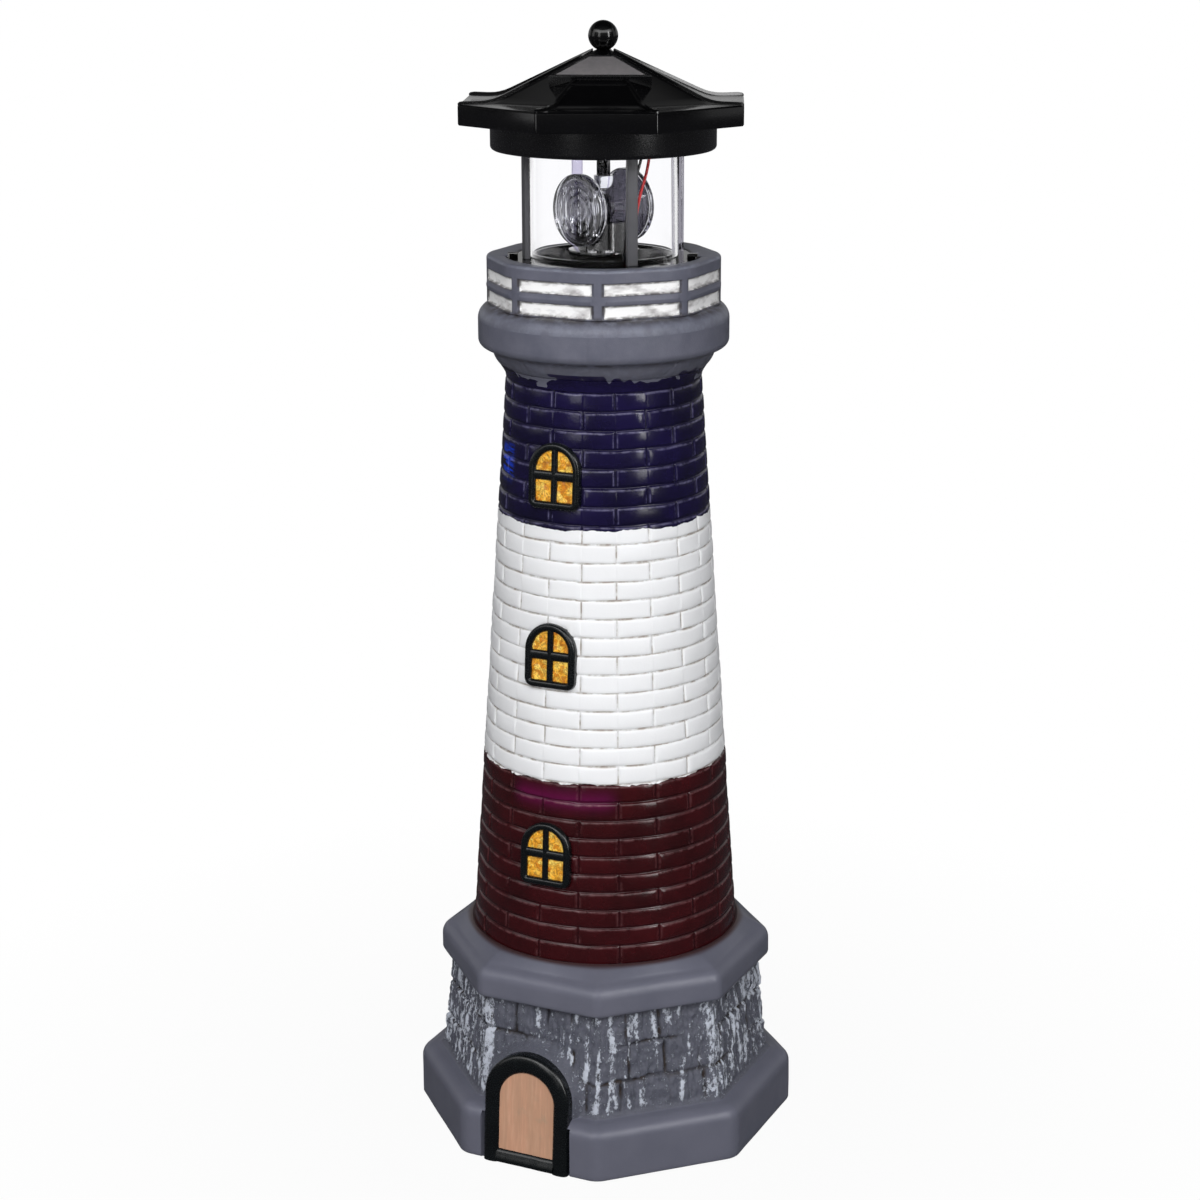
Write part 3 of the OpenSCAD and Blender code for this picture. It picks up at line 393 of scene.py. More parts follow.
def make_brick_finish():
    """Three painted bands over the moulded bricks."""
    look = Finish("brick paint")
    joint = look.mark("joint")
    glint = look.times(look.mark("glint"), look.span(look.noise(0.0035, 4.0, 0.65), 0.4, 0.62))
    cloud = look.noise(0.016, 3.0, 0.55)
    clouded = look.span(cloud, 0.35, 0.7)

    red = look.over(paint("red"), (42, 7, 10), clouded)
    red = look.over(red, (106, 10, 74), look.mark("red_glow"), 0.55)
    red = look.over(red, (40, 8, 14), joint, 0.5)
    red = look.over(red, (176, 128, 132), glint, 0.2)

    bars = look.span(look.noise(0.0013, 2.0, 0.5, look.stretch((0.12, 0.12, 1))), 0.4, 0.56)
    blue = look.over(paint("blue"), (15, 11, 38), clouded)
    blue = look.over(blue, (14, 58, 190), look.mark("blue_glow"), bars)
    blue = look.over(blue, (14, 10, 40), joint, 0.5)
    blue = look.over(blue, (132, 128, 168), glint, 0.42)

    wash = look.noise(0.0055, 4.0, 0.65)
    white = look.over(paint("white"), (214, 214, 214), look.span(look.mark("tone"), 0, 1, 0.0, 0.12))
    white = look.over(white, (196, 178, 158), look.span(joint, 0.05, 0.8),
                      look.span(wash, 0.45, 0.7, 0, 0.35))
    white = look.over(white, (124, 111, 98), look.span(joint, 0.62, 0.98),
                      look.span(wash, 0.36, 0.62, 0.12, 0.8))

    up = look.split(look.place())["Z"]
    height = look.plus(up, look.span(look.noise(0.009, 3.0, 0.6), 0.3, 0.7, -0.0007, 0.0007))
    over_red = look.span(height, WHITE_FOOT, WHITE_FOOT + PAINT_FADE)
    colour = look.mix(over_red, red, white)
    colour = look.mix(look.span(height, NAVY_FOOT, NAVY_FOOT + PAINT_FADE), colour, blue)
    colour = look.mix(look.calc("GREATER_THAN", up, grey_line(look)), colour, paint("grey"))
    look.set("Base Color", colour)
    in_white = look.times(over_red, look.span(height, NAVY_FOOT + PAINT_FADE, NAVY_FOOT))
    look.set("Roughness", look.plus(look.span(in_white, 0, 1, 0.19, 0.45),
                                    look.span(cloud, 0.3, 0.7, -0.05, 0.07)))
    look.bump(look.grain(1500.0, 220.0, 0.75)["Height"], 0.0003, 0.4)


def make_gallery_finish():
    """Grey paint of the gallery, with white panels, a navy foot, weathering along the rail's foot and
    painted shade in its crevices.
    """
    look = Finish("gallery paint")
    base = look.mottle(paint("grey"), (74, 78, 92), 110.0, 0.5)
    base = look.use("worn", Colour=base, Worn=(140, 145, 158), Edge=look.mark("edge"),
                    Amount=0.5, Breaks_per_metre=220.0)["Colour"]
    # Grey streaks, drawn out upright, over the white panels.
    panel_streaks = look.noise(0.009, 3.0, 0.55, look.stretch((1, 1, 2.2)))
    white = look.mix(look.span(panel_streaks, 0.48, 0.72), (248, 248, 248), (176, 173, 174))
    panel = look.plus(look.mark("panel"), look.span(look.noise(0.0022, 3.0, 0.6), 0.3, 0.7, -0.16, 0.16))
    colour = look.mix(look.span(panel, 0.48, 0.6), base, white)
    low = look.calc("LESS_THAN", look.split(look.place())["Z"], grey_line(look))
    colour = look.mix(low, colour, paint("blue"))
    # Dark brown in the crevices: weathering along the rail's foot, and painted shade under the ring and in
    # the other recesses.
    dirt_and_shade = look.times(look.mark("crevice"), look.span(look.noise(0.003, 4.0), 0.34, 0.56))
    look.set("Base Color", look.over(colour, (54, 50, 50), dirt_and_shade, 0.85))
    look.set("Roughness", look.span(low, 0, 1, 0.4, 0.32))
    look.bump(look.grain(2400.0, 240.0, 0.5)["Height"], 0.00025, 0.5)


def make_plastic(name, colour, shade, rough, grains=2600.0, depth=0.00012, **plain):
    """Moulded plastic with a fine grain and faint changes of shade and gloss."""
    look = Finish(name, **plain)
    look.set("Base Color", look.mottle(colour, shade, 120.0, 0.6))
    grain = look.grain(grains, 140.0, 0.55)
    look.set("Roughness", look.plus(grain["Gloss change"], rough))
    look.bump(grain["Height"], depth, 0.4)


def make_clear(name, tint, rough, ior, depth, strength, shade=(240, 243, 248)):
    """Clear plastic with faint moulding waves."""
    look = Finish(name, Roughness=rough, IOR=ior, Transmission_Weight=1.0)
    look.set("Base Color", look.mottle(tint, shade, 60.0, 0.4))
    look.bump(look.grain(400.0, 90.0, 0.8)["Height"], depth, strength)


def make_metal(name, colour, rough, stretch=(1, 1, 1), size=0.0008):
    """Metal with fine marks; stretch draws them out along one way. The colour is linear."""
    look = Finish(name, Metallic=0.6)
    marks = look.noise(size, 3.0, 0.6, look.stretch(stretch))
    dark = tuple(c * 0.8 for c in colour)
    look.set("Base Color", look.mix(look.span(marks, 0.35, 0.65), (*colour, 1), (*dark, 1)))
    look.set("Roughness", look.span(marks, 0.3, 0.7, rough - 0.06, rough + 0.08))
    look.bump(marks, 0.00005, 0.4)


def make_ribbed_lens():
    """Clear lens with moulded rings round its middle, each with a painted grey line of shade."""
    look = Finish("ribbed lens", Roughness=0.04, IOR=1.45, Transmission_Weight=1.0)
    low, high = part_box("lens_front")
    middle = [(a + b) / 2 for a, b in zip(low, high)]
    away = math.hypot(middle[0], middle[1])
    place = look.split(look.place())
    along = look.minus(look.times(place["X"], -middle[1] / away),
                       look.times(place["Y"], -middle[0] / away))
    ring = look.calc("PINGPONG", look.reach(along, look.minus(place["Z"], middle[2])), LENS_RING / 2)
    # Painted shade: a ragged grey line along each ring stands in for the dark refraction of its rib.
    dark = look.span(ring, LENS_RING * 0.12, LENS_RING * 0.34, 0.55, 0.0)
    ragged = look.span(look.noise(0.003, 3.0, 0.6), 0.35, 0.65, 0.4, 1.0)
    look.set("Base Color", look.over((246, 247, 251), (92, 92, 100), dark, ragged))
    look.bump(look.calc("DIVIDE", ring, LENS_RING / 2), 0.0004, 0.4)


def make_amber():
    """Window panes: amber flakes under gloss, with darker cracks and a faint painted glow."""
    look = Finish("amber pane", Emission_Strength=0.08, Coat_Weight=0.5, Coat_Roughness=0.1)
    flakes = look.add("ShaderNodeTexVoronoi", feature="F1")
    look.join(look.stretch((1, 1, 1.1)), flakes.inputs["Vector"])
    flakes.inputs["Scale"].default_value = 520
    colour = look.ramp(flakes.outputs["Color"], [(0.1, (212, 128, 18)), (0.45, paint("amber")),
                                                 (0.8, (252, 214, 96))])
    cracks = look.noise(0.0026, 5.0, 0.7, distort=1.4)
    crack = look.ramp(cracks, [(0.42, 0.0), (0.5, 1.0), (0.55, 0.0)])
    colour = look.over(colour, (128, 72, 16), crack, 0.8)
    grime = look.span(look.noise(0.005, 4.0, 0.6), 0.6, 0.72)
    colour = look.over(colour, (120, 78, 30), grime, 0.6)
    look.set("Base Color", colour)
    # Painted glow: the panes give off faint light in their own colour, though no lamp sits behind them.
    look.set("Emission Color", colour)
    look.set("Roughness", look.span(cracks, 0.3, 0.7, 0.28, 0.5))
    look.bump(look.plus(cracks, look.noise(0.0012, 3.0)), 0.0006, 0.6)


def make_wood():
    """Painted wood grain of the door leaf: fine upright streaks."""
    look = Finish("door wood")
    fine = look.noise(0.0011, 4.0, 0.65, look.stretch((1, 1, 0.03)))
    broad = look.noise(0.005, 3.0, 0.5, look.stretch((1, 1, 0.06)))
    colour = look.ramp(fine, [(0.3, (186, 140, 116)), (0.5, paint("door")), (0.7, (206, 160, 134))])
    colour = look.over(colour, (168, 138, 112), look.span(broad, 0.4, 0.68, 0, 0.5))
    colour = look.over(colour, (150, 140, 118), look.span(look.noise(0.006, 4.0, 0.6), 0.6, 0.75, 0, 0.4))
    look.set("Base Color", colour)
    look.set("Roughness", look.span(fine, 0.3, 0.7, 0.48, 0.62))
    look.bump(fine, 0.0002, 0.5)


def make_solar():
    """Grey cells under a glossy cover; the grey is partly a painted reflection of the light in the cover."""
    look = Finish("solar cells", Coat_Weight=0.6, Coat_Roughness=0.12)
    across = look.split(look.stretch((1, 1, 1), (0, 0, -math.radians(22.5))))["X"]
    strips = look.calc("PINGPONG", look.plus(across, 0.5), SOLAR_STRIP)
    cloud = look.noise(0.004, 4.0, 0.7)
    # The cells' grey is partly their own colour and partly a painted reflection of the light.
    cell = look.mix(look.span(cloud, 0.35, 0.65), (112, 109, 110), (100, 98, 100))
    look.set("Base Color", look.over(cell, (140, 140, 144), look.span(strips, 0.0, 0.0003, 1.0, 0.0), 0.08))
    look.set("Roughness", look.span(cloud, 0.3, 0.7, 0.3, 0.42))
    look.bump(look.noise(0.0015, 3.0), 0.0001, 0.3)


def make_finishes():
    make_groups()
    for make in (make_stone_finish, make_brick_finish, make_gallery_finish, make_amber, make_wood,
                 make_solar, make_ribbed_lens):
        make()
    make_plastic("frame black", (12, 16, 18), (5, 7, 8), 0.26, 1800.0, 0.00015, Coat_Weight=0.3)
    make_plastic("satin black", (10, 10, 12), (6, 6, 7), 0.24, 3200.0, 0.00003, Specular_IOR_Level=1.0)
    make_plastic("glossy black", (6, 6, 7), (3, 3, 4), 0.13, 3000.0, 0.00003, Specular_IOR_Level=0.7)
    make_plastic("post grey", (84, 84, 88), (70, 70, 74), 0.4)
    make_plastic("white nylon", (226, 225, 220), (205, 203, 196), 0.45)
    make_plastic("board green", (22, 92, 52), (12, 66, 36), 0.35, 900.0, 0.0002)
    make_plastic("cell wrap", (30, 130, 72), (20, 104, 54), 0.3)
    make_plastic("rubber", (26, 26, 27), (16, 16, 17), 0.8, 1500.0, 0.0003)
    make_plastic("red insulation", (186, 22, 26), (150, 14, 18), 0.4, 2000.0)
    make_plastic("black insulation", (20, 20, 21), (12, 12, 13), 0.4, 2000.0)
    make_metal("bright steel", (0.78, 0.78, 0.8), 0.16)
    make_metal("brushed can", (0.66, 0.66, 0.68), 0.34, (1, 1, 14), 0.002)
    make_metal("brass", (0.76, 0.58, 0.26), 0.3)
    make_clear("clear tube", (254, 254, 255), 0.0, 1.12, 0.00002, 0.1, (253, 253, 255))
    make_clear("clear lens", (236, 238, 244), 0.03, 1.45, 0.00012, 0.4)
    make_clear("clear funnel", (96, 94, 104), 0.06, 1.49, 0.0002, 0.5, (70, 68, 78))
    make_clear("smoked post", (150, 148, 158), 0.05, 1.25, 0.0002, 0.5, (110, 108, 118))
    make_clear("frosted post", (206, 200, 226), 0.42, 1.4, 0.0002, 0.5)


# --------------------------------------------------------------- Mesh tools


def add_piece(name, mesh, finish, body, node, slot, sharp):
    """Object that rides a body, stands for a CAD node and keeps edges over sharp degrees hard."""
    piece = bpy.data.objects.new(name, mesh)
    bpy.context.scene.collection.objects.link(piece)
    mesh.materials.append(finishes[finish])
    mesh.shade_smooth()
    mesh.set_sharp_from_angle(angle=math.radians(sharp))
    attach(piece, body)
    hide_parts(node)


def new_piece(name, verts, faces, finish, node, slot, sharp, marks=None, body="tower"):
    """Piece from points in millimetres, with the marks that its finish reads."""
    mesh = bpy.data.meshes.new(name)
    mesh.from_pydata([(x * MM, y * MM, z * MM) for x, y, z in verts], [], faces)
    mesh.update()
    for label, values in (marks or {}).items():
        mesh.attributes.new(label, "FLOAT", "POINT").data.foreach_set("value", values)
    add_piece(name, mesh, finish, body, node, slot, sharp)


def softened(node, finish, width=0.25, segments=2, angle=30, slot=None, sharp=40):
    """Copy of a CAD node whose edges over an angle are rounded; it stands for the node."""
    source = frame["nodes"][node]
    work = bmesh.new()
    work.from_mesh(source.data)
    bmesh.ops.remove_doubles(work, verts=work.verts, dist=1e-6)
    bmesh.ops.dissolve_limit(work, angle_limit=math.radians(0.6), verts=work.verts, edges=work.edges)
    if width:
        edges = [e for e in work.edges if len(e.link_faces) == 2
                 and e.calc_face_angle(0) > math.radians(angle)]
        bmesh.ops.bevel(work, geom=edges, offset=width * MM, offset_type="OFFSET",
                        segments=segments, profile=0.6, affect="EDGES", clamp_overlap=True)
    bmesh.ops.triangulate(work, faces=[f for f in work.faces if len(f.verts) > 4])
    mesh = bpy.data.meshes.new(node + "_shape")
    work.to_mesh(mesh)
    work.free()
    add_piece(node + "_shape", mesh, finish, source["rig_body"], node, slot, sharp)


def paint_node(node, finish):
    """Gives a CAD node its finish and leaves its shape as it is."""
    mesh = frame["nodes"][node].data
    mesh.materials.clear()
    mesh.materials.append(finishes[finish])


def grid_faces(rows, columns):
    """Faces between neighbouring rings of points."""
    faces = []
    for j in range(rows - 1):
        for i in range(columns):
            a = j * columns + i
            b = j * columns + (i + 1) % columns
            faces.append((a, b, b + columns, a + columns))
    return faces


def around(r, az, z):
    """Place at distance r in direction az, in degrees from the door towards the right."""
    a = math.radians(az)
    return (r * math.sin(a), -r * math.cos(a), z)


class Shell:
    """Rings of points round the tower's axis that close into a shell, with marks on the points."""

    def __init__(self, directions, *marks):
        self.directions, self.verts = directions, []
        self.marks = {mark: [] for mark in marks}

    def point(self, place, **values):
        self.verts.append(place)
        for mark, column in self.marks.items():
            column.append(values.get(mark, 0.0))

    def ring(self, z, shape, **values):
        """Ring at height z. shape is its radius, or gives the radius in each direction."""
        for az in self.directions:
            self.point(around(shape(az) if callable(shape) else shape, az, z), **values)

    def piece(self, name, finish, node, slot, sharp, body="tower"):
        wide = len(self.directions)
        rings = len(self.verts) // wide
        faces, top = grid_faces(rings, wide), (rings - 1) * wide
        faces += [(top + i, top + (i + 1) % wide, (i + 1) % wide, i) for i in range(wide)]
        new_piece(name, self.verts, faces, finish, node, slot, sharp, self.marks, body)


def smooth_step(low, high, value):
    t = min(max((value - low) / (high - low), 0.0), 1.0)
    return t * t * (3 - 2 * t)


def between(value, a, b, c, d):
    """1 from b to c, and 0 before a and after d."""
    return smooth_step(a, b, value) * (1 - smooth_step(c, d, value))


def bell(value, middle, width):
    return math.exp(-((value - middle) / width) ** 2)


def flat_noise(x, z, wide, high, seed):
    """Soft noise from -1 to 1 over a wall, with lumps of one width and height."""
    return noise.noise(Vector((x / wide, z / high, seed)))


def lumps(x, y, z, size, octaves=3, seed=0.0):
    """Soft noise from -1 to 1 at a place in millimetres."""
    return noise.fractal(Vector((x / size + seed, y / size - seed, z / size)), 1.0, 2.0, octaves)


def octagon(az, corner, rounding):
    """Distance to the edge of a round-cornered octagon, whose sides face 0, 45 and so on."""
    step = math.pi / 4
    local = abs(math.radians(az) % step - step / 2)
    centre = corner - rounding / math.cos(step / 2)
    tangent = math.atan2(rounding * math.sin(step / 2), centre + rounding * math.cos(step / 2))
    if local < tangent:
        side = centre * math.sin(local)
        return centre * math.cos(local) + math.sqrt(max(rounding ** 2 - side ** 2, 0))
    return corner * math.cos(step / 2) / math.cos(step / 2 - local)


def in_arch(x, z, width, height):
    """How far (x, z) lies inside an arch that stands on z = 0; negative outside."""
    r = width / 2
    if z <= height - r:
        return min(r - abs(x), z)
    return r - math.hypot(x, z - (height - r))


class Leaning:
    """Plane that faces the door's side and leans back."""

    def __init__(self, y, z, lean):
        self.x, self.y, self.z = FRONT_SHIFT, y, z
        self.s, self.c = math.sin(math.radians(lean)), math.cos(math.radians(lean))

    def place(self, x, up, behind):
        return (self.x + x, self.y + up * self.s + behind * self.c, self.z + up * self.c - behind * self.s)

    def up(self, y, z):
        return (y - self.y) * self.s + (z - self.z) * self.c


def sweep(places, section, closed):
    """Bar of one section along a path; each of the places turns (across, behind) into a place."""
    verts, faces = [], []
    rows, wide = len(places), len(section)
    for place in places:
        verts += [place(t, b) for t, b in section]
    for j in range(rows if closed else rows - 1):
        for i in range(wide):
            a, b = j * wide + i, j * wide + (i + 1) % wide
            faces.append((a, b, (b + wide) % len(verts), (a + wide) % len(verts)))
    if not closed:
        faces.append(tuple(range(wide - 1, -1, -1)))
        faces.append(tuple(range((rows - 1) * wide, rows * wide)))
    return verts, faces


def join_shells(*shells):
    verts, faces = [], []
    for some_verts, some_faces in shells:
        start = len(verts)
        verts += some_verts
        faces += [tuple(v + start for v in face) for face in some_faces]
    return verts, faces


def bead(band, bulge, depth, fullness):
    """Section of a rounded bead: (inwards from the outline, behind the face)."""
    section = [(0, depth)]
    for i in range(11):
        u = -math.cos(math.pi * i / 10)
        rise = (1 - abs(u) ** fullness) ** (1 / fullness)
        section.append((band / 2 * (1 + u), bulge * (1 - rise)))
    section.append((band, depth))
    return section


def arch_leaf(plane, foot, width, height, front, back, relief, lump):
    """Slab with an arched top and an uneven front, which stands at foot on a leaning plane."""
    verts, rows, wide = [], 60, 36
    for j in range(rows + 1):
        up = height * (1 - (1 - j / rows) ** 1.6)
        rise = up - (height - width / 2)
        half = width / 2 if rise < 0 else math.sqrt(max((width / 2) ** 2 - rise ** 2, 0.01))
        for i in range(wide + 1):
            x = half * (2 * i / wide - 1)
            verts.append(plane.place(x, foot + up, front + relief * lumps(x, up, plane.z, lump)))
        verts += [plane.place(half, foot + up, back), plane.place(-half, foot + up, back)]
    top = rows * (wide + 3)
    ends = [tuple(range(wide + 2, -1, -1)), tuple(range(top, top + wide + 3))]
    return verts, grid_faces(rows + 1, wide + 3) + ends


def arch_places(plane, width, height, closed, uneven, seed, crown=0.0):
    """Stations round an arch, which a closed one continues along its foot.

    Each takes (inwards, behind) and gives a place. crown widens the band towards the top."""
    r = width / 2
    jamb = height - r
    foot = FOOT_ROUNDING if closed else 0
    count = max(int(jamb / 1.2), 4)
    jamb_ups = [foot + (jamb - foot) * i / count for i in range(count)]
    stations = [(-r, up, 1, 0) for up in jamb_ups]
    for i in range(49):
        a = math.pi * (1 - i / 48)
        stations.append((r * math.cos(a), jamb + r * math.sin(a), -math.cos(a), -math.sin(a)))
    stations += [(r, up, -1, 0) for up in reversed(jamb_ups)]
    if closed:
        turns = [math.pi / 12 * k for k in range(1, 7)]
        stations += [(r - foot + foot * math.cos(a), foot - foot * math.sin(a), -math.cos(a), math.sin(a))
                     for a in turns]
        stations += [((r - foot) * (1 - k / 5), 0, 0, 1) for k in range(1, 10)]
        stations += [(-r + foot - foot * math.sin(a), foot - foot * math.cos(a), math.sin(a), math.cos(a))
                     for a in [0] + turns[:-1]]

    def station(x, up, nx, nup):
        wave = uneven * lumps(x, up, seed, 6.0, 2, seed)
        wide = 1 + crown * max(-nup, 0)
        return lambda t, b: plane.place(x + nx * t * wide, up + nup * t * wide, b + wave)

    return [station(*s) for s in stations]


# -------------------------------------------------------------- Main sizes

BRICK_FOOT, COURSE, COURSES = 81.0, 7.05, 31
NECK = BRICK_FOOT + COURSE * COURSES
TOWER_TOP, RING_FOOT, RAIL_FOOT, DECK = NECK + 4.5, NECK + 9.9, NECK + 27.4, NECK + 45.4
TOWER_FOOT_RADIUS, TOWER_TAPER = 52.1, 15

# The door and the windows stand a little left of their nodes, where the photograph has them.
FRONT_SHIFT = -1.5
DOOR_FACE, DOOR_FOOT, DOOR_LEAN = 70.95, 0.6, 4.0
DOOR_WIDTH, DOOR_HEIGHT, DOOR_BAND = 36.0, 46.0, 6.6
WINDOW_WIDTH, WINDOW_HEIGHT, WINDOW_BAND = 20.9, 25.0, 3.0
WINDOWS = {"low": 122.8, "mid": 200.2, "high": 268.1}
FOOT_ROUNDING = 3.4


def tower_radius(z):
    return TOWER_FOOT_RADIUS - TOWER_TAPER * (z - BRICK_FOOT) / (NECK - BRICK_FOOT)


def door_plane():
    return Leaning(-DOOR_FACE, DOOR_FOOT, DOOR_LEAN)


def window_plane(z):
    foot = z - WINDOW_HEIGHT / 2
    lean = math.degrees(math.atan(TOWER_TAPER / (NECK - BRICK_FOOT)))
    return Leaning(-tower_radius(foot) - 1.6, foot, lean)


# --------------------------------------------------------------- Stone base

BASE_COLUMNS = 760
# Corner distance and corner radius of the plinth and the ledge, and how their top edges round off.
PLINTH, PLINTH_ROUNDING, PLINTH_EDGE, PLINTH_SIDE = 75.4, 9, 5.5, 17
LEDGE, LEDGE_ROUNDING, LEDGE_SIDE = 66, 6, 71
WALL_CORNER, WALL_TAPER, WALL_FOOT, WALL_TOP = 65.75, 4.5, 24.4, 64.0
WALL_ROUNDING, WALL_STEP = 2.5, 0.62
# Length of one face of the wall, the heights of its two beds, and how far a corner's wear reaches.
FACE_RUN, BEDS, CORNER_WEAR = 48.6, (36, 50.3), 4.2
# How far the moulded wall stands behind the door's frame, and how steeply it falls away from it.
SURROUND_DEPTH, SURROUND_SLOPE = 4.2, 1.7
# The solids' inner wall, and the round seat of the tower.
INNER_PLINTH, INNER_LEDGE, SEAT = 57.25, 50.25, 53.6


def stone_blocks():
    """Upright joints of the three stone courses: (place along the wall, how far the block stands out)."""
    rng = random.Random(11)
    rows = []
    for _ in range(3):
        run, joints = rng.uniform(0, 9), []
        while run < 8 * FACE_RUN:
            joints.append((run, rng.uniform(-0.3, 0.3)))
            run += rng.uniform(9, 17)
        rows.append(joints)
    return rows


def wall_run(az):
    """Distance along the wall in direction az."""
    side = round(az / 45)
    across = math.tan(math.radians(az - 45 * side)) / (2 * math.tan(math.radians(22.5)))
    return (side + across + 0.5) * FACE_RUN % (8 * FACE_RUN)


def stone_relief(run, z, blocks):
    """(stands out, brushed white with painted highlights, gap) of the stone wall at one place."""
    level_z = z + 1.1 * flat_noise(run, z, 11, 40, 3.1)
    level = sum(level_z >= bed for bed in BEDS)
    to_bed = min(abs(level_z - bed) for bed in BEDS)
    nearest, lift = min(((abs(run - at), lift) for at, lift in blocks[level]), key=lambda j: j[0])
    kept = smooth_step(-0.35, 0.2, flat_noise(run, z, 19, 13, 8.4))
    rough = 0.5 * flat_noise(run, z, 1.6, 1.9, 1.7)
    gap = (1 - smooth_step(0.2, 1.0, min(to_bed, nearest * 1.15) + rough)) * kept

    fold = 1 - abs(flat_noise(run, z, 2.6, 10.5, 5.5)) * 2.4
    thin = 1 - abs(flat_noise(run, z, 1.1, 4.2, 9.1)) * 2.4
    chip = noise.fractal(Vector((run / 2.8, z / 3.2, 2.2)), 1.0, 2.1, 4)
    broad = flat_noise(run, z, 8, 12, 6.3)
    out = 0.45 * fold + 0.3 * thin + 0.5 * chip + 0.4 * broad + lift - 0.4

    # Faces 0 and 1 lie round the door; from face 2 on the streaks are finer and closer together.
    face = run / FACE_RUN
    corner = max(0.0, 1 - (0.5 - abs(face % 1.0 - 0.5)) * FACE_RUN / CORNER_WEAR)
    # Painted highlight: more white down the corner that faces the key lamp.
    lit_corner = max(0.0, 1 - abs(face - 2.0) * FACE_RUN / 6.5)
    streak = flat_noise(run, z, 2.9, 22, 4.4) + 0.45 * flat_noise(run, z, 1.2, 6, 7.7)
    hair = flat_noise(run, z, 1.05, 8, 1.4) + 0.4 * flat_noise(run, z, 4, 10, 6.1)
    dense = smooth_step(1.96, 2.06, face)
    # Painted highlight: a line of white under each bed joint.
    below_bed = bell(to_bed, 1.3, 0.8) * smooth_step(0.0, 0.4, flat_noise(run, z, 5, 30, 3.7))
    brush_and_highlight = max(smooth_step(-0.05, 0.55, streak + 0.45 * corner + 0.95 * lit_corner),
                0.9 * dense * smooth_step(-0.12, 0.34, hair), 0.45 * below_bed)
    return out - 1.1 * gap, brush_and_highlight * (0.45 + 0.55 * smooth_step(-0.4, 0.3, out)), gap


def top_edge(corner, rounding, size, side, turns, least):
    """Rows of a rounded top edge, from the upright side inwards."""
    rows = []
    for a in turns:
        a = math.radians(a)
        inwards = size * (1 - math.cos(a))
        rows.append((corner - inwards / math.cos(math.radians(22.5)), max(rounding - inwards, least),
                     side + size * math.sin(a), False))
    return rows


def base_rows():
    """(corner distance, corner radius, height, whether in the wall) from the inner foot to the ledge."""
    rows = [(INNER_PLINTH, 3, 5, False), (63.2, 3, 5, False), (63.2, 3, 0.6, False), (69, 6, 0.6, False),
            (PLINTH - 1.2, PLINTH_ROUNDING - 1, 0.6, False),
            (PLINTH - 0.3, PLINTH_ROUNDING - 0.4, 0.85, False)]
    rows += [(PLINTH, PLINTH_ROUNDING, z, False) for z in (1.4, 3, 5, 7, 9, 11, 13, 15, 16.5)]
    rows += top_edge(PLINTH, PLINTH_ROUNDING, PLINTH_EDGE, PLINTH_SIDE, range(9, 91, 9), 3)
    rows += [(68.6, 3, 22.55, False), (67.5, 3, 22.7, False), (66.75, 2.8, 23.0, True),
             (66.1, 2.6, 23.7, True)]
    z = WALL_FOOT
    while z < WALL_TOP - 0.6:
        share = (z - WALL_FOOT) / (WALL_TOP - WALL_FOOT)
        rows.append((WALL_CORNER - WALL_TAPER * share, WALL_ROUNDING, z, True))
        z += WALL_STEP
    rows += [(61.25, 2.5, 63.8, False), (62.5, 3, 64.15, False), (64.6, 5, 64.1, False),
             (65.7, 5.8, 64.6, False)]
    rows += [(LEDGE, LEDGE_ROUNDING, z, False) for z in (65.4, 66.8, 68.2, 69.6, LEDGE_SIDE)]
    turns = [69 * i / 9 for i in range(1, 10)]
    return rows + top_edge(LEDGE, LEDGE_ROUNDING, LEDGE_ROUNDING, LEDGE_SIDE, turns, 1)


def beside_door(plane, x, y, z):
    """y of a place of the base once the door has its recess, its groove and its moulded surround."""
    if y >= -50 or z <= 0.7:
        return y
    up = plane.up(y, z)
    inside = in_arch(x - plane.x, up, DOOR_WIDTH, DOOR_HEIGHT)
    if inside > 1.6 and z < WALL_FOOT - 0.4:
        return max(y, -62.5)
    if inside > -0.7 and z < 19.5:
        return max(y, plane.place(0, up, 3.6)[1])
    if z > 14:
        return min(y, plane.place(0, up, SURROUND_DEPTH + SURROUND_SLOPE * max(-inside, 0))[1])
    return y


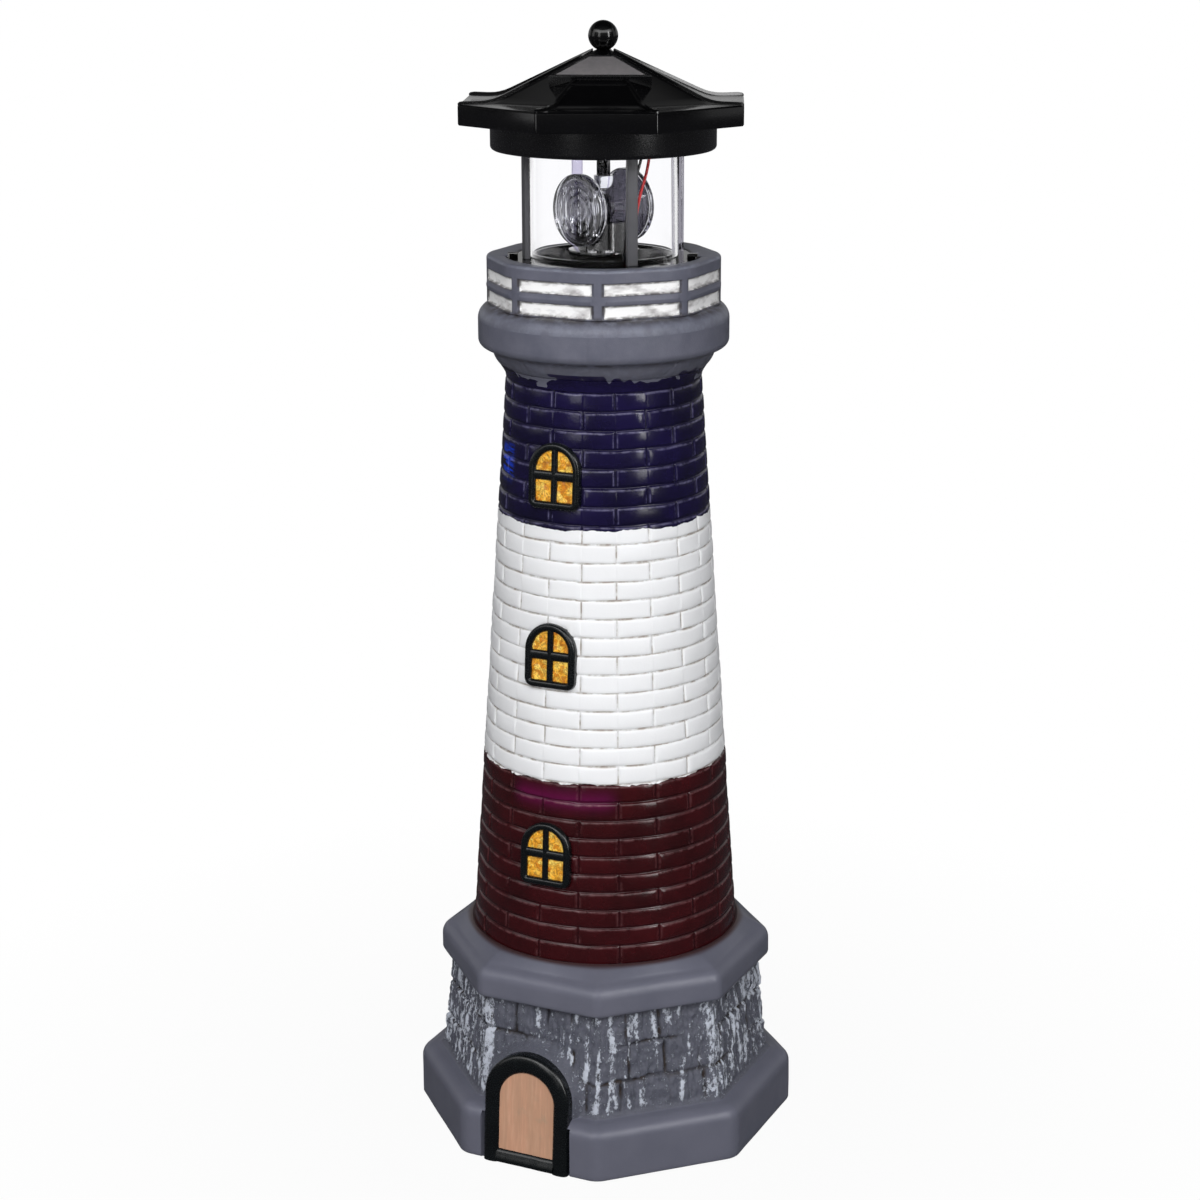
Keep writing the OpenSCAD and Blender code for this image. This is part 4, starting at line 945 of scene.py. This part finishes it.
class LIGHTHOUSE_OT_base(bpy.types.Operator):
    """Stone base with its brushed wall, its ledge and its plinth"""

    bl_idname = "lighthouse.base"
    bl_label = "Stone base"

    def execute(self, context):
        depth = relief_settings().stone_depth / 0.9 / MM
        blocks, plane, rows = stone_blocks(), door_plane(), base_rows()
        shell = Shell([360 * i / BASE_COLUMNS for i in range(BASE_COLUMNS)], "wall", "brush_and_highlight", "gap", "foot")
        for corner, rounding, z, in_wall in rows:
            for az in shell.directions:
                r, marks = octagon(az, corner, rounding), {}
                if in_wall:
                    out, brush_and_highlight, gap = stone_relief(wall_run(az), z, blocks)
                    x, y, _ = around(r, az, z)
                    calm = smooth_step(22.8, 26.5, z) * (1 - 0.7 * smooth_step(61, 63.8, z))
                    if y < 0:
                        inside = in_arch(x - plane.x, plane.up(y, z), DOOR_WIDTH, DOOR_HEIGHT)
                        calm *= smooth_step(0.6, 5.0, -inside)
                    r += depth * out * calm
                    marks = {"wall": 1.0, "brush_and_highlight": brush_and_highlight * calm, "gap": gap * calm}
                else:
                    r += 0.12 * lumps(*around(r, az, z), 16.0, 2)
                x, y, _ = around(r, az, z)
                shell.point((x, beside_door(plane, x, y, z), z), **marks)

        corner, rounding, foot, _ = rows[-1]
        for t in (i / 8 for i in range(1, 9)):
            z = foot + (BRICK_FOOT - 0.1 - foot) * t ** 0.9

            def slope(az):
                r = (1 - t) * octagon(az, corner, rounding) + t * SEAT
                return r + 0.1 * lumps(*around(r, az, z), 14.0, 2)

            # The foot mark is the painted shade where the slope meets the tower.
            shell.ring(z, slope, foot=smooth_step(0.7, 1.0, t))
        for r, z in ((53.0, 81.3), (52.3, 80.9), (46.0, 80.9)):
            shell.ring(z, r, foot=1.0)
        shell.ring(75.6, 46.0)
        shell.ring(75.5, lambda az: octagon(az, INNER_LEDGE, 3))
        shell.ring(69, lambda az: octagon(az, INNER_PLINTH, 3))
        shell.piece("stone_base", "stone paint", "base_shell", "stone_grey", 60)
        return {"FINISHED"}


# -------------------------------------------------------------- Brick tower

# Heights of the mesh rows above the foot of a course, closest together at its joint.
COURSE_ROWS = (0.0, 0.28, 0.55, 0.9, 1.5, 3.5, 5.5, 6.15, 6.5, 6.77)


def brick_columns():
    """Directions of the mesh columns, close together at every upright joint."""
    near = (-1.8, -1.15, -0.7, -0.35, 0, 0.35, 0.7, 1.15, 1.8)
    far = (3.4, 5.0, 6.6, 8.2, 9.8, 11.4, 13.0, 14.6)
    return [13.5 + 18 * k + step for k in range(20) for step in near + far]


def brick_place(az, level):
    """(degrees to the nearest upright joint, number of the brick) in a course."""
    start = 31.5 if level % 2 == 0 else 13.5
    turn = (az - start) / 36
    return (turn - round(turn)) * 36, math.floor(turn)


def lamp_glow(az, z):
    """Marks of the magenta and the blue reflection in the glossy bricks."""
    turn = az % 360 - 360 * (az % 360 > 180)
    return {"red_glow": bell(z, 145.2, 3.4) * between(turn, -24, -14, 24, 34),
            "blue_glow": between(az, 309, 313, 323, 327) * between(z, 262, 265, 274, 277)}


class LIGHTHOUSE_OT_tower(bpy.types.Operator):
    """Brick tower in red, white and blue"""

    bl_idname = "lighthouse.tower"
    bl_label = "Brick tower"

    def execute(self, context):
        relief = relief_settings()
        uneven, joint_depth = relief.brick_uneven / MM, relief.joint_depth / MM
        rng = random.Random(7)
        bricks = {(k, n): (rng.uniform(-1, 1), rng.uniform(-1, 1), rng.random())
                  for k in range(COURSES) for n in range(-2, 14)}
        planes = [window_plane(z) for z in WINDOWS.values()]
        shell = Shell(brick_columns(), "joint", "tone", "glint", "red_glow", "blue_glow")

        for level, step in ((level, step) for level in range(COURSES) for step in COURSE_ROWS):
            for az in shell.directions:
                z = BRICK_FOOT + COURSE * level + step
                off, number = brick_place(az, level)
                stand, tilt, tone = bricks[level, number]
                r = tower_radius(z)
                to_joint = abs(off) * math.pi / 180 * r * 1.1
                bed = min(step if level else 9, COURSE - step)
                near = min(to_joint, bed)
                joint = 1 - smooth_step(0.16, 0.72, near)
                r += uneven * (stand + tilt * off / 18) * smooth_step(0.4, 1.6, near)
                r -= joint_depth * joint * (0.85 + 0.3 * lumps(az, z, 3, 9.0, 1))
                r -= 0.16 * (1 - smooth_step(0.6, 1.9, near))
                r += 0.14 * lumps(*around(r, az, z), 11.0, 2)
                z += 0.3 * noise.noise(Vector((az / 13, level * 3.7, 0.3)))
                x, y, _ = around(r, az, z)
                if y < -20 and abs(x) < 12:
                    for plane in planes:
                        if in_arch(x - plane.x, plane.up(y, z), WINDOW_WIDTH, WINDOW_HEIGHT) > 1.4:
                            r -= 2.1
                glint = max(bell(to_joint, 0.85, 0.24) * (bed > 0.8),
                            bell(COURSE - step, 0.9, 0.3) * (to_joint > 0.8))
                shell.point(around(r, az, z), joint=joint, tone=tone, glint=glint, **lamp_glow(az, z))

        for up, r in ((0, 37.0), (0.5, 37.1), (1.6, 37.3), (3, 38.05), (4, 38.7), (4.5, 39.0)):
            shell.ring(NECK + up, lambda az: r + 0.1 * lumps(*around(r, az, NECK + up), 9.0, 2))
        shell.ring(TOWER_TOP, 34.0)
        for z in (NECK, 250.0, 190.0, 130.0, BRICK_FOOT):
            shell.ring(z, tower_radius(z) - 3.2)
        shell.piece("brick_tower", "brick paint", "tower_shell", "brick_paint", 75)
        return {"FINISHED"}


# ------------------------------------------------------------------ Gallery

# Corner distance and corner radius of the rail.
RAIL, RAIL_ROUNDING = 45.6, 22.0
# Half the width of a panel and of its painted field, and the heights of the two rows over the rail's foot.
PANEL_HALF, FIELD_HALF, PANEL_ROWS = 15.8, 14.9, ((0.4, 5.35), (8.6, 13.25))
RING_RADIUS, RING_EDGE, RING_FOOT_EDGE, BORE = 47.2, 5.5, 3.2, 30.9
# (direction, lean) of the casting creases in the cove, in degrees and degrees per millimetre.
CREASES = ((31.5, 0), (58, 1.1), (-15, -1.1), (103, 0), (135, 1.1), (175, 0), (207, 1.1), (247, -1.1),
           (290, 0))


def rail_columns():
    """Directions of the gallery's mesh columns, close together at the ends of each panel."""
    apothem = RAIL * math.cos(math.radians(22.5))
    across = [0.0]
    while across[-1] < 13.3:
        across.append(across[-1] + 0.95)
    across += [13.9, 14.3, 14.6, 14.85, 15.1, 15.35, 15.6, 15.8, 16.0, 16.3, 16.7, 17.2]
    half = [math.degrees(math.atan(s / apothem)) for s in across]
    one = [-a for a in reversed(half[1:])] + half
    return [45 * k + a for k in range(8) for a in one]


def rail_relief(s, up):
    """(sunk, panel, crevice) of one side of the rail, s from its middle and up from its foot; crevice is
    painted shade round the sunk panel.
    """
    for low, high in PANEL_ROWS:
        inside = min(PANEL_HALF - abs(s), up - low, high - up)
        field = min(FIELD_HALF - abs(s), up - low - 0.25, high - up - 0.25)
        if inside > -0.9:
            return (0.45 * smooth_step(-0.1, 0.3, inside) + 0.6 * smooth_step(-0.1, 0.45, field),
                    smooth_step(-0.25, 0.1, field),
                    smooth_step(-0.3, 0.1, inside) * (1 - smooth_step(0.1, 0.8, field)))
    return 0.0, 0.0, 0.0


def creased(r, z):
    """Shape of the cove at one height."""
    def shape(az):
        depth = 0.0
        for at, lean in CREASES:
            off = (az - at - lean * (z - 304) + 180) % 360 - 180
            depth += 0.5 * max(0.0, 1 - abs(off) / 1.1)
        return r - depth
    return shape


def opening(more):
    """Shape of the hole in the deck, which is wider on the front; more is its extra radius."""
    def shape(az):
        off = abs((az - 22.5 + 180) % 360 - 180)
        return 32.8 + 4.0 * (1 - smooth_step(80.4, 81.6, off)) + more
    return shape


class LIGHTHOUSE_OT_gallery(bpy.types.Operator):
    """Gallery with its cove, its ring and its panelled rail"""

    bl_idname = "lighthouse.gallery"
    bl_label = "Gallery"

    def execute(self, context):
        shell = Shell(rail_columns(), "panel", "crevice", "edge")

        def uneven(r):
            return lambda az: r + 0.08 * lumps(*around(r, az, 5 * r), 12.0, 2)

        shell.ring(TOWER_TOP, uneven(BORE))
        shell.ring(TOWER_TOP, uneven(38.6))
        # Crevice marks: painted shade in the cove and in the line under the ring's foot.
        for t in (i / 8 for i in range(9)):
            r = 39.0 + 2.9 * t + 0.5 * math.sin(math.pi * t)
            shell.ring(TOWER_TOP + 0.1 + 5.2 * t, creased(r, TOWER_TOP + 5.3 * t), crevice=0.25)
        for i in range(9):
            a = math.radians(-80 + 10 * i)
            shell.ring(RING_FOOT + 4.6 + RING_FOOT_EDGE * math.sin(a),
                       uneven(RING_RADIUS - RING_FOOT_EDGE + RING_FOOT_EDGE * math.cos(a)),
                       crevice=1.0 if i < 2 else 0)
        for up in (7.05, 8.75, 10.55, 11.95):
            shell.ring(RING_FOOT + up, uneven(RING_RADIUS))
        # Here crevice marks the weathering along the rail's foot.
        for i in range(10):
            a = math.radians(9 * i + 1)
            shell.ring(RAIL_FOOT - RING_EDGE + RING_EDGE * math.sin(a),
                       uneven(RING_RADIUS - RING_EDGE + RING_EDGE * math.cos(a)),
                       edge=0.6 if i < 6 else 0.2, crevice=min(0.3 * max(0, i - 4), 1))

        apothem = RAIL * math.cos(math.radians(22.5))
        z = RAIL_FOOT + 0.05
        while z < DECK - 1.0:
            for az in shell.directions:
                r = octagon(az, RAIL, RAIL_ROUNDING)
                s = apothem * math.tan(math.radians(az - 45 * round(az / 45)))
                sunk, panel, crevice = rail_relief(s, z - RAIL_FOOT)
                ridge = 0.22 * bell(z - RAIL_FOOT, 6.75, 0.75) * (abs(s) < 14.8)
                shell.point(around(r - sunk + ridge + 0.06 * lumps(*around(r, az, z), 8.0, 2), az, z),
                            panel=panel, crevice=max(crevice, 1 - smooth_step(0, 1.7, z - RAIL_FOOT)))
            z += 0.3
        for inwards, down in ((0.1, 0.75), (0.3, 0.4), (0.65, 0.12), (1.2, 0.0), (3.0, -0.05)):
            shell.ring(DECK - down, lambda az: octagon(az, RAIL, RAIL_ROUNDING) - inwards,
                       edge=0.9 if inwards < 1 else 0.2)
        for more, down, crevice in ((1.0, 0.05, 0.0), (0.35, 0.1, 0.8), (0.0, 0.4, 1.0), (0.0, 3.3, 0.0)):
            shell.ring(DECK - down, opening(more), crevice=crevice)
        shell.ring(DECK - 3.3, uneven(BORE))
        shell.piece("gallery", "gallery paint", "gallery_deck", "grey_paint", 75)
        return {"FINISHED"}


# --------------------------------------------------------- Door and windows


class LIGHTHOUSE_OT_door(bpy.types.Operator):
    """Door leaf in its rounded frame"""

    bl_idname = "lighthouse.door"
    bl_label = "Door"

    def execute(self, context):
        plane = door_plane()
        arch = sweep(arch_places(plane, DOOR_WIDTH, DOOR_HEIGHT, False, 0.12, 2.0, 0.16),
                     bead(DOOR_BAND, 2.0, 9.9, 2.5), False)

        def sill_place(x):
            wave = 0.14 * lumps(x, 0, 4, 3.0)
            return lambda up, behind: plane.place(x, up + (wave if up > 2 else 0), behind + wave)

        # (up, behind) round the sill, from its back foot over the nosing to its back edge.
        section = [(0.2, 9.6), (0, 0.9), (0.35, 0.2), (1.1, -0.35), (2.1, -0.3), (2.9, 0.1), (4.2, 0.5),
                   (5.2, 0.95), (5.8, 1.7), (6.05, 2.9), (6.1, 9.6)]
        inner = DOOR_WIDTH / 2 - DOOR_BAND + 0.9
        sill = sweep([sill_place(inner * (i / 12 - 1)) for i in range(25)], section[::-1], False)
        new_piece("door_bead", *join_shells(arch, sill), "frame black", "door_frame", "frame_black", 50)
        leaf = arch_leaf(plane, 5.6, DOOR_WIDTH - 2 * DOOR_BAND + 0.6, DOOR_HEIGHT - DOOR_BAND - 5.4,
                         1.3, 4.6, 0.08, 5.0)
        new_piece("door_leaf", *leaf, "door wood", "door_panel", "door_wood", 50)
        return {"FINISHED"}


class LIGHTHOUSE_OT_windows(bpy.types.Operator):
    """Three arched windows with rounded bars"""

    bl_idname = "lighthouse.windows"
    bl_label = "Windows"

    def execute(self, context):
        turns = [math.cos(math.pi * k / 8) for k in range(9)]
        bar = [(u * 1.3, 1.15 - 0.95 * math.sqrt(max(1 - u * u, 0))) for u in turns]
        bar = [(1.3, 2.4)] + bar + [(-1.3, 2.4)]
        for name, z in WINDOWS.items():
            plane = window_plane(z)
            upright = [lambda t, b, up=1.6 + (WINDOW_HEIGHT - 3.0) * k / 10: plane.place(t, up, b)
                       for k in range(11)]
            level = [lambda t, b, x=(WINDOW_WIDTH / 2 - 1.5) * (1 - k / 5):
                     plane.place(x, 0.505 * WINDOW_HEIGHT + t, b) for k in range(11)]
            bead_and_bars = join_shells(
                sweep(arch_places(plane, WINDOW_WIDTH, WINDOW_HEIGHT, True, 0.1, z),
                      bead(WINDOW_BAND, 1.5, 5.4, 2.3), True),
                sweep(upright, bar, False),
                sweep(level, [(t * 1.4, b) for t, b in bar], False))
            new_piece("window_bead_" + name, *bead_and_bars, "frame black", "window_frame_" + name,
                      "frame_black", 50)
            leaf = arch_leaf(plane, 2.4, WINDOW_WIDTH - 4.8, WINDOW_HEIGHT - 4.8, 1.3, 3.0, 0.35, 2.4)
            new_piece("window_glass_" + name, *leaf, "amber pane", "window_pane_" + name, "amber_pane", 50)
        return {"FINISHED"}


# ------------------------------------------------------------ Lantern, roof

TUBE_RADIUS, TUBE_WALL, TUBE_FOOT, TUBE_TOP, TUBE_EDGE = 28, 1.4, 344.55, 384.55, 0.25


class LIGHTHOUSE_OT_lantern(bpy.types.Operator):
    """Cup and flange, clear tube, posts, ceiling, collar and lamp"""

    bl_idname = "lighthouse.lantern"
    bl_label = "Lantern"

    def execute(self, context):
        softened("lantern_base", "glossy black", 0.25, 2, 35, "black_plastic")
        shell = Shell([90 + 2 * i for i in range(180)])
        outer, inner = TUBE_RADIUS, TUBE_RADIUS - TUBE_WALL
        corners = [Vector(corner) for corner in ((outer, TUBE_FOOT), (outer, TUBE_TOP),
                                                 (inner, TUBE_TOP), (inner, TUBE_FOOT))]
        for before, corner, after in zip(corners[-1:] + corners, corners, corners[1:] + corners[:1]):
            start = corner + (before - corner).normalized() * TUBE_EDGE
            end = corner + (after - corner).normalized() * TUBE_EDGE
            for t in (0, 1 / 3, 2 / 3, 1):
                r, z = start * (1 - t) ** 2 + corner * 2 * t * (1 - t) + end * t ** 2
                shell.ring(z, r)
        shell.piece("clear_tube", "clear tube", "lantern_glass", "clear_plastic", 40, "lantern")
        for number, finish in ((1, "post grey"), (2, "smoked post"), (4, "post grey")):
            softened("post_%d" % number, finish, 0.35, 3, 30, "post_grey")
        softened("post_3", "frosted post", 0.35, 3, 30, "post_frosted")
        softened("ceiling_plate", "satin black", 0.2, 2, 35, "roof_black")
        softened("roof_collar", "satin black", 0.5, 3, 35, "roof_black")
        softened("lamp_holder", "satin black", 0.2, 2, 35, "black_plastic")
        softened("lamp_lens", "clear lens", 0.2, 2, 40, "clear_plastic")
        return {"FINISHED"}


class LIGHTHOUSE_OT_roof(bpy.types.Operator):
    """Roof with its ribs, the solar panel and the ball on top"""

    bl_idname = "lighthouse.roof"
    bl_label = "Roof"

    def execute(self, context):
        softened("roof_shell", "glossy black", 0.7, 3, 32, "roof_black")
        softened("solar_frame", "satin black", 0.25, 2, 30, "roof_black")
        softened("solar_panel", "solar cells", 0.2, 2, 30, "solar_cell")
        softened("finial", "glossy black", 0.0, 2, 30, "roof_black")
        return {"FINISHED"}


class LIGHTHOUSE_OT_beacon(bpy.types.Operator):
    """Turning beacon: gear, turntable, eyelets, funnels and lenses"""

    bl_idname = "lighthouse.beacon"
    bl_label = "Beacon"

    def execute(self, context):
        softened("beacon_gear", "white nylon", 0.12, 2, 35, "white_nylon")
        softened("turntable", "glossy black", 0.2, 2, 35, "black_plastic")
        paint_node("eyelets", "bright steel")
        for side in ("front", "rear"):
            softened("reflector_" + side, "clear funnel", 0.1, 2, 40, "clear_plastic")
            softened("lens_" + side, "ribbed lens", 0.1, 2, 40, "clear_plastic")
        return {"FINISHED"}


class LIGHTHOUSE_OT_drive(bpy.types.Operator):
    """Motor, board, cell, covers and switch inside the can"""

    bl_idname = "lighthouse.drive"
    bl_label = "Drive"

    def execute(self, context):
        for node, finish, width in (
                ("shaft_bush", "brass", 0.15), ("motor_plate", "white nylon", 0.2),
                ("motor", "brushed can", 0.3), ("motor_pinion", "white nylon", 0.1),
                ("circuit_board", "board green", 0.1), ("battery", "cell wrap", 0.3),
                ("contact_plate", "bright steel", 0.05), ("lower_cover", "satin black", 0.25),
                ("lower_cover_screws", "bright steel", 0.15), ("battery_hatch", "satin black", 0.2),
                ("switch_body", "satin black", 0.15), ("switch_slider", "post grey", 0.2)):
            softened(node, finish, width, 2, 32)
        paint_node("contact_spring", "bright steel")
        return {"FINISHED"}


class LIGHTHOUSE_OT_underside(bpy.types.Operator):
    """Bottom cover, its screws and the feet"""

    bl_idname = "lighthouse.underside"
    bl_label = "Underside"

    def execute(self, context):
        softened("bottom_cover", "satin black", 0.3, 2, 32, "black_plastic")
        softened("cover_screws", "bright steel", 0.2, 2, 32, "steel")
        for number in (1, 2, 3, 4):
            softened("foot_pad_%d" % number, "rubber", 0.5, 3, 32, "rubber_black")
        return {"FINISHED"}


class LIGHTHOUSE_OT_wires(bpy.types.Operator):
    """Red and black wire between the panel and the board"""

    bl_idname = "lighthouse.wires"
    bl_label = "Wires"

    def execute(self, context):
        for colour in ("red", "black"):
            softened("wire_" + colour, colour + " insulation", 0.0, 1, 30, "wire_" + colour, 60)
        return {"FINISHED"}


class LIGHTHOUSE_OT_finishes(bpy.types.Operator):
    """All paints, plastics and metals"""

    bl_idname = "lighthouse.finishes"
    bl_label = "Finishes"

    def execute(self, context):
        make_finishes()
        return {"FINISHED"}


# -------------------------------------------------------------------- Stage

FLOOR_REACH = 9.0
LAMP_AIM = Vector((0, 0, 0.22))
SENSOR, SHIFT = 36, -0.003667


def make_floor():
    """Pale floor: white to the camera, yet it keeps the shadow, and dark in glossy surfaces."""
    look = Finish("floor", Roughness=0.6)
    look.set("Base Color", look.mix(look.noise(0.6, 2.0), (196, 196, 196), (188, 188, 190)))
    rays = look.add("ShaderNodeLightPath").outputs
    place = look.split(look.place())

    def glow(*colour):
        node = look.add("ShaderNodeEmission")
        node.inputs["Color"].default_value = (*colour, 1)
        return node.outputs[0]

    def blend(amount, below, above):
        node = look.add("ShaderNodeMixShader")
        for socket, source in zip(node.inputs, (amount, below, above)):
            look.join(source, socket)
        return node.outputs[0]

    direct = look.calc("MAXIMUM", rays["Is Camera Ray"], rays["Is Transmission Ray"])
    bounced = look.calc("MAXIMUM", look.minus(rays["Is Glossy Ray"], rays["Is Transmission Ray"]), 0.0)
    clean = look.span(look.reach(place["X"], place["Y"]), 0.1, 0.34, 0.95, 1.0)
    seen = blend(look.times(direct, clean), look.shader.outputs[0], glow(1, 1, 1))
    look.join(blend(bounced, seen, glow(0.05, 0.05, 0.055)),
              look.tree.nodes["Material Output"].inputs["Surface"])
    mesh = bpy.data.meshes.new("floor")
    corners = [(x * FLOOR_REACH, y * FLOOR_REACH, 0) for x, y in ((-1, -1), (1, -1), (1, 1), (-1, 1))]
    mesh.from_pydata(corners, [], [(0, 1, 2, 3)])
    mesh.materials.append(look.material)
    floor = bpy.data.objects.new("floor", mesh)
    bpy.context.scene.collection.objects.link(floor)


def make_world():
    """White surroundings; glossy surfaces see a pale band ahead and dark overhead."""
    world = bpy.data.worlds.new("studio")
    world.use_nodes = True
    bpy.context.scene.world = world
    web = Web(world.node_tree)
    background = world.node_tree.nodes["Background"]
    rays = web.add("ShaderNodeLightPath").outputs
    way = web.split(web.add("ShaderNodeTexCoord").outputs["Generated"])
    up = way["Z"]
    turn = bpy.context.scene.lighthouse_stage.azimuth
    front = web.minus(web.times(way["X"], math.sin(turn)), web.times(way["Y"], math.cos(turn)))
    band = web.ramp(up, [(0.0, 0.04), (0.36, 0.06), (0.44, 1.0), (0.6, 1.0), (0.7, 0.04), (1.0, 0.02)])
    mirror = web.mix(1.0, band, web.ramp(front, [(0.0, 0.08), (0.1, 0.08), (0.5, 2.4)]), "MULTIPLY")
    behind = web.times(web.span(front, -0.15, -0.6), web.span(up, 0.24, 0.36, 0.9, 0.0))
    mirror = web.mix(behind, mirror, (0.5, 0.5, 0.5, 1))
    shade = web.mix(rays["Is Glossy Ray"], (0.13, 0.13, 0.133, 1), mirror)
    direct = web.calc("MAXIMUM", rays["Is Camera Ray"], rays["Is Transmission Ray"])
    web.join(web.mix(direct, shade, (1, 1, 1, 1)), background.inputs["Color"])
    background.inputs["Strength"].default_value = 1.0


def softbox(name, bearing, elevation, distance, width, height, strength, mirrored=True):
    """Area lamp that faces the tower, bearing counted from the camera's direction."""
    lamp = bpy.data.lights.new(name, "AREA")
    lamp.shape = "RECTANGLE"
    lamp.size, lamp.size_y = width, height
    lamp.energy = strength
    thing = bpy.data.objects.new(name, lamp)
    thing.visible_glossy = mirrored
    bpy.context.scene.collection.objects.link(thing)
    az, el = bpy.context.scene.lighthouse_stage.azimuth + math.radians(bearing), math.radians(elevation)
    way = Vector((math.sin(az) * math.cos(el), -math.cos(az) * math.cos(el), math.sin(el)))
    thing.location = LAMP_AIM + way * distance
    thing.rotation_euler = way.to_track_quat("Z", "Y").to_euler()


def make_camera(stage):
    camera = bpy.data.cameras.new("camera")
    camera.lens = stage.lens
    camera.sensor_width = SENSOR
    camera.shift_x = SHIFT
    camera.clip_start = 0.05
    eye = bpy.data.objects.new("camera", camera)
    bpy.context.scene.collection.objects.link(eye)
    a, p = stage.azimuth, stage.pitch
    back = Vector((math.sin(a) * math.cos(p), -math.cos(a) * math.cos(p), math.sin(p)))
    right = Vector((math.cos(a), math.sin(a), 0))
    up = back.cross(right)
    right, up = right + up * stage.roll, up - right * stage.roll
    turn = Matrix((right.normalized(), up.normalized(), back)).transposed()
    place = (math.sin(a) * stage.distance, -math.cos(a) * stage.distance, stage.height)
    eye.matrix_world = Matrix.Translation(place) @ turn.to_4x4()
    bpy.context.scene.camera = eye


class LIGHTHOUSE_OT_stage(bpy.types.Operator):
    """Floor, soft light and the camera"""

    bl_idname = "lighthouse.stage"
    bl_label = "Stage"

    def execute(self, context):
        stage = context.scene.lighthouse_stage
        make_floor()
        make_world()
        softbox("front", -6, 36, 1.6, 1.1, 0.7, stage.front, False)
        softbox("key", 44, 16.5, 1.5, 0.2, 1.0, stage.key)
        softbox("fill", -31, 15.5, 1.6, 0.45, 1.0, stage.fill)
        softbox("top", 0, 80, 1.4, 0.9, 0.9, 2.6, False)
        softbox("left side", -82, 22, 1.4, 0.5, 1.0, 1.2)
        softbox("right side", 95, 22, 1.4, 0.5, 1.0, 0.5)
        make_camera(stage)
        context.scene.view_settings.view_transform = "Standard"
        return {"FINISHED"}


# ------------------------------------------------------------------- Add-on

STEPS = (LIGHTHOUSE_OT_finishes, LIGHTHOUSE_OT_base, LIGHTHOUSE_OT_tower, LIGHTHOUSE_OT_gallery,
         LIGHTHOUSE_OT_door, LIGHTHOUSE_OT_windows, LIGHTHOUSE_OT_lantern, LIGHTHOUSE_OT_roof,
         LIGHTHOUSE_OT_beacon, LIGHTHOUSE_OT_drive, LIGHTHOUSE_OT_underside, LIGHTHOUSE_OT_wires,
         LIGHTHOUSE_OT_stage)
SETTINGS = {"lighthouse_paint": LighthousePaint, "lighthouse_relief": LighthouseRelief,
            "lighthouse_stage": LighthouseStage}


class LIGHTHOUSE_PT_pieces(bpy.types.Panel):
    """Settings and buttons for each piece of the lighthouse"""

    bl_idname = "LIGHTHOUSE_PT_pieces"
    bl_label = "Garden lighthouse"
    bl_space_type = "VIEW_3D"
    bl_region_type = "UI"
    bl_category = "Lighthouse"

    def draw(self, context):
        for key in SETTINGS:
            box, settings = self.layout.box(), getattr(context.scene, key)
            for name in settings.__annotations__:
                box.prop(settings, name)
        for step in STEPS:
            self.layout.operator(step.bl_idname)


def register():
    for cls in (*SETTINGS.values(), *STEPS, LIGHTHOUSE_PT_pieces):
        bpy.utils.register_class(cls)
    for key, cls in SETTINGS.items():
        setattr(bpy.types.Scene, key, bpy.props.PointerProperty(type=cls))


def unregister():
    for key in SETTINGS:
        delattr(bpy.types.Scene, key)
    for cls in reversed((*SETTINGS.values(), *STEPS, LIGHTHOUSE_PT_pieces)):
        bpy.utils.unregister_class(cls)


def main():
    register()
    for step in STEPS:
        group, name = step.bl_idname.split(".")
        getattr(getattr(bpy.ops, group), name)()


if __name__ == "__main__":
    main()
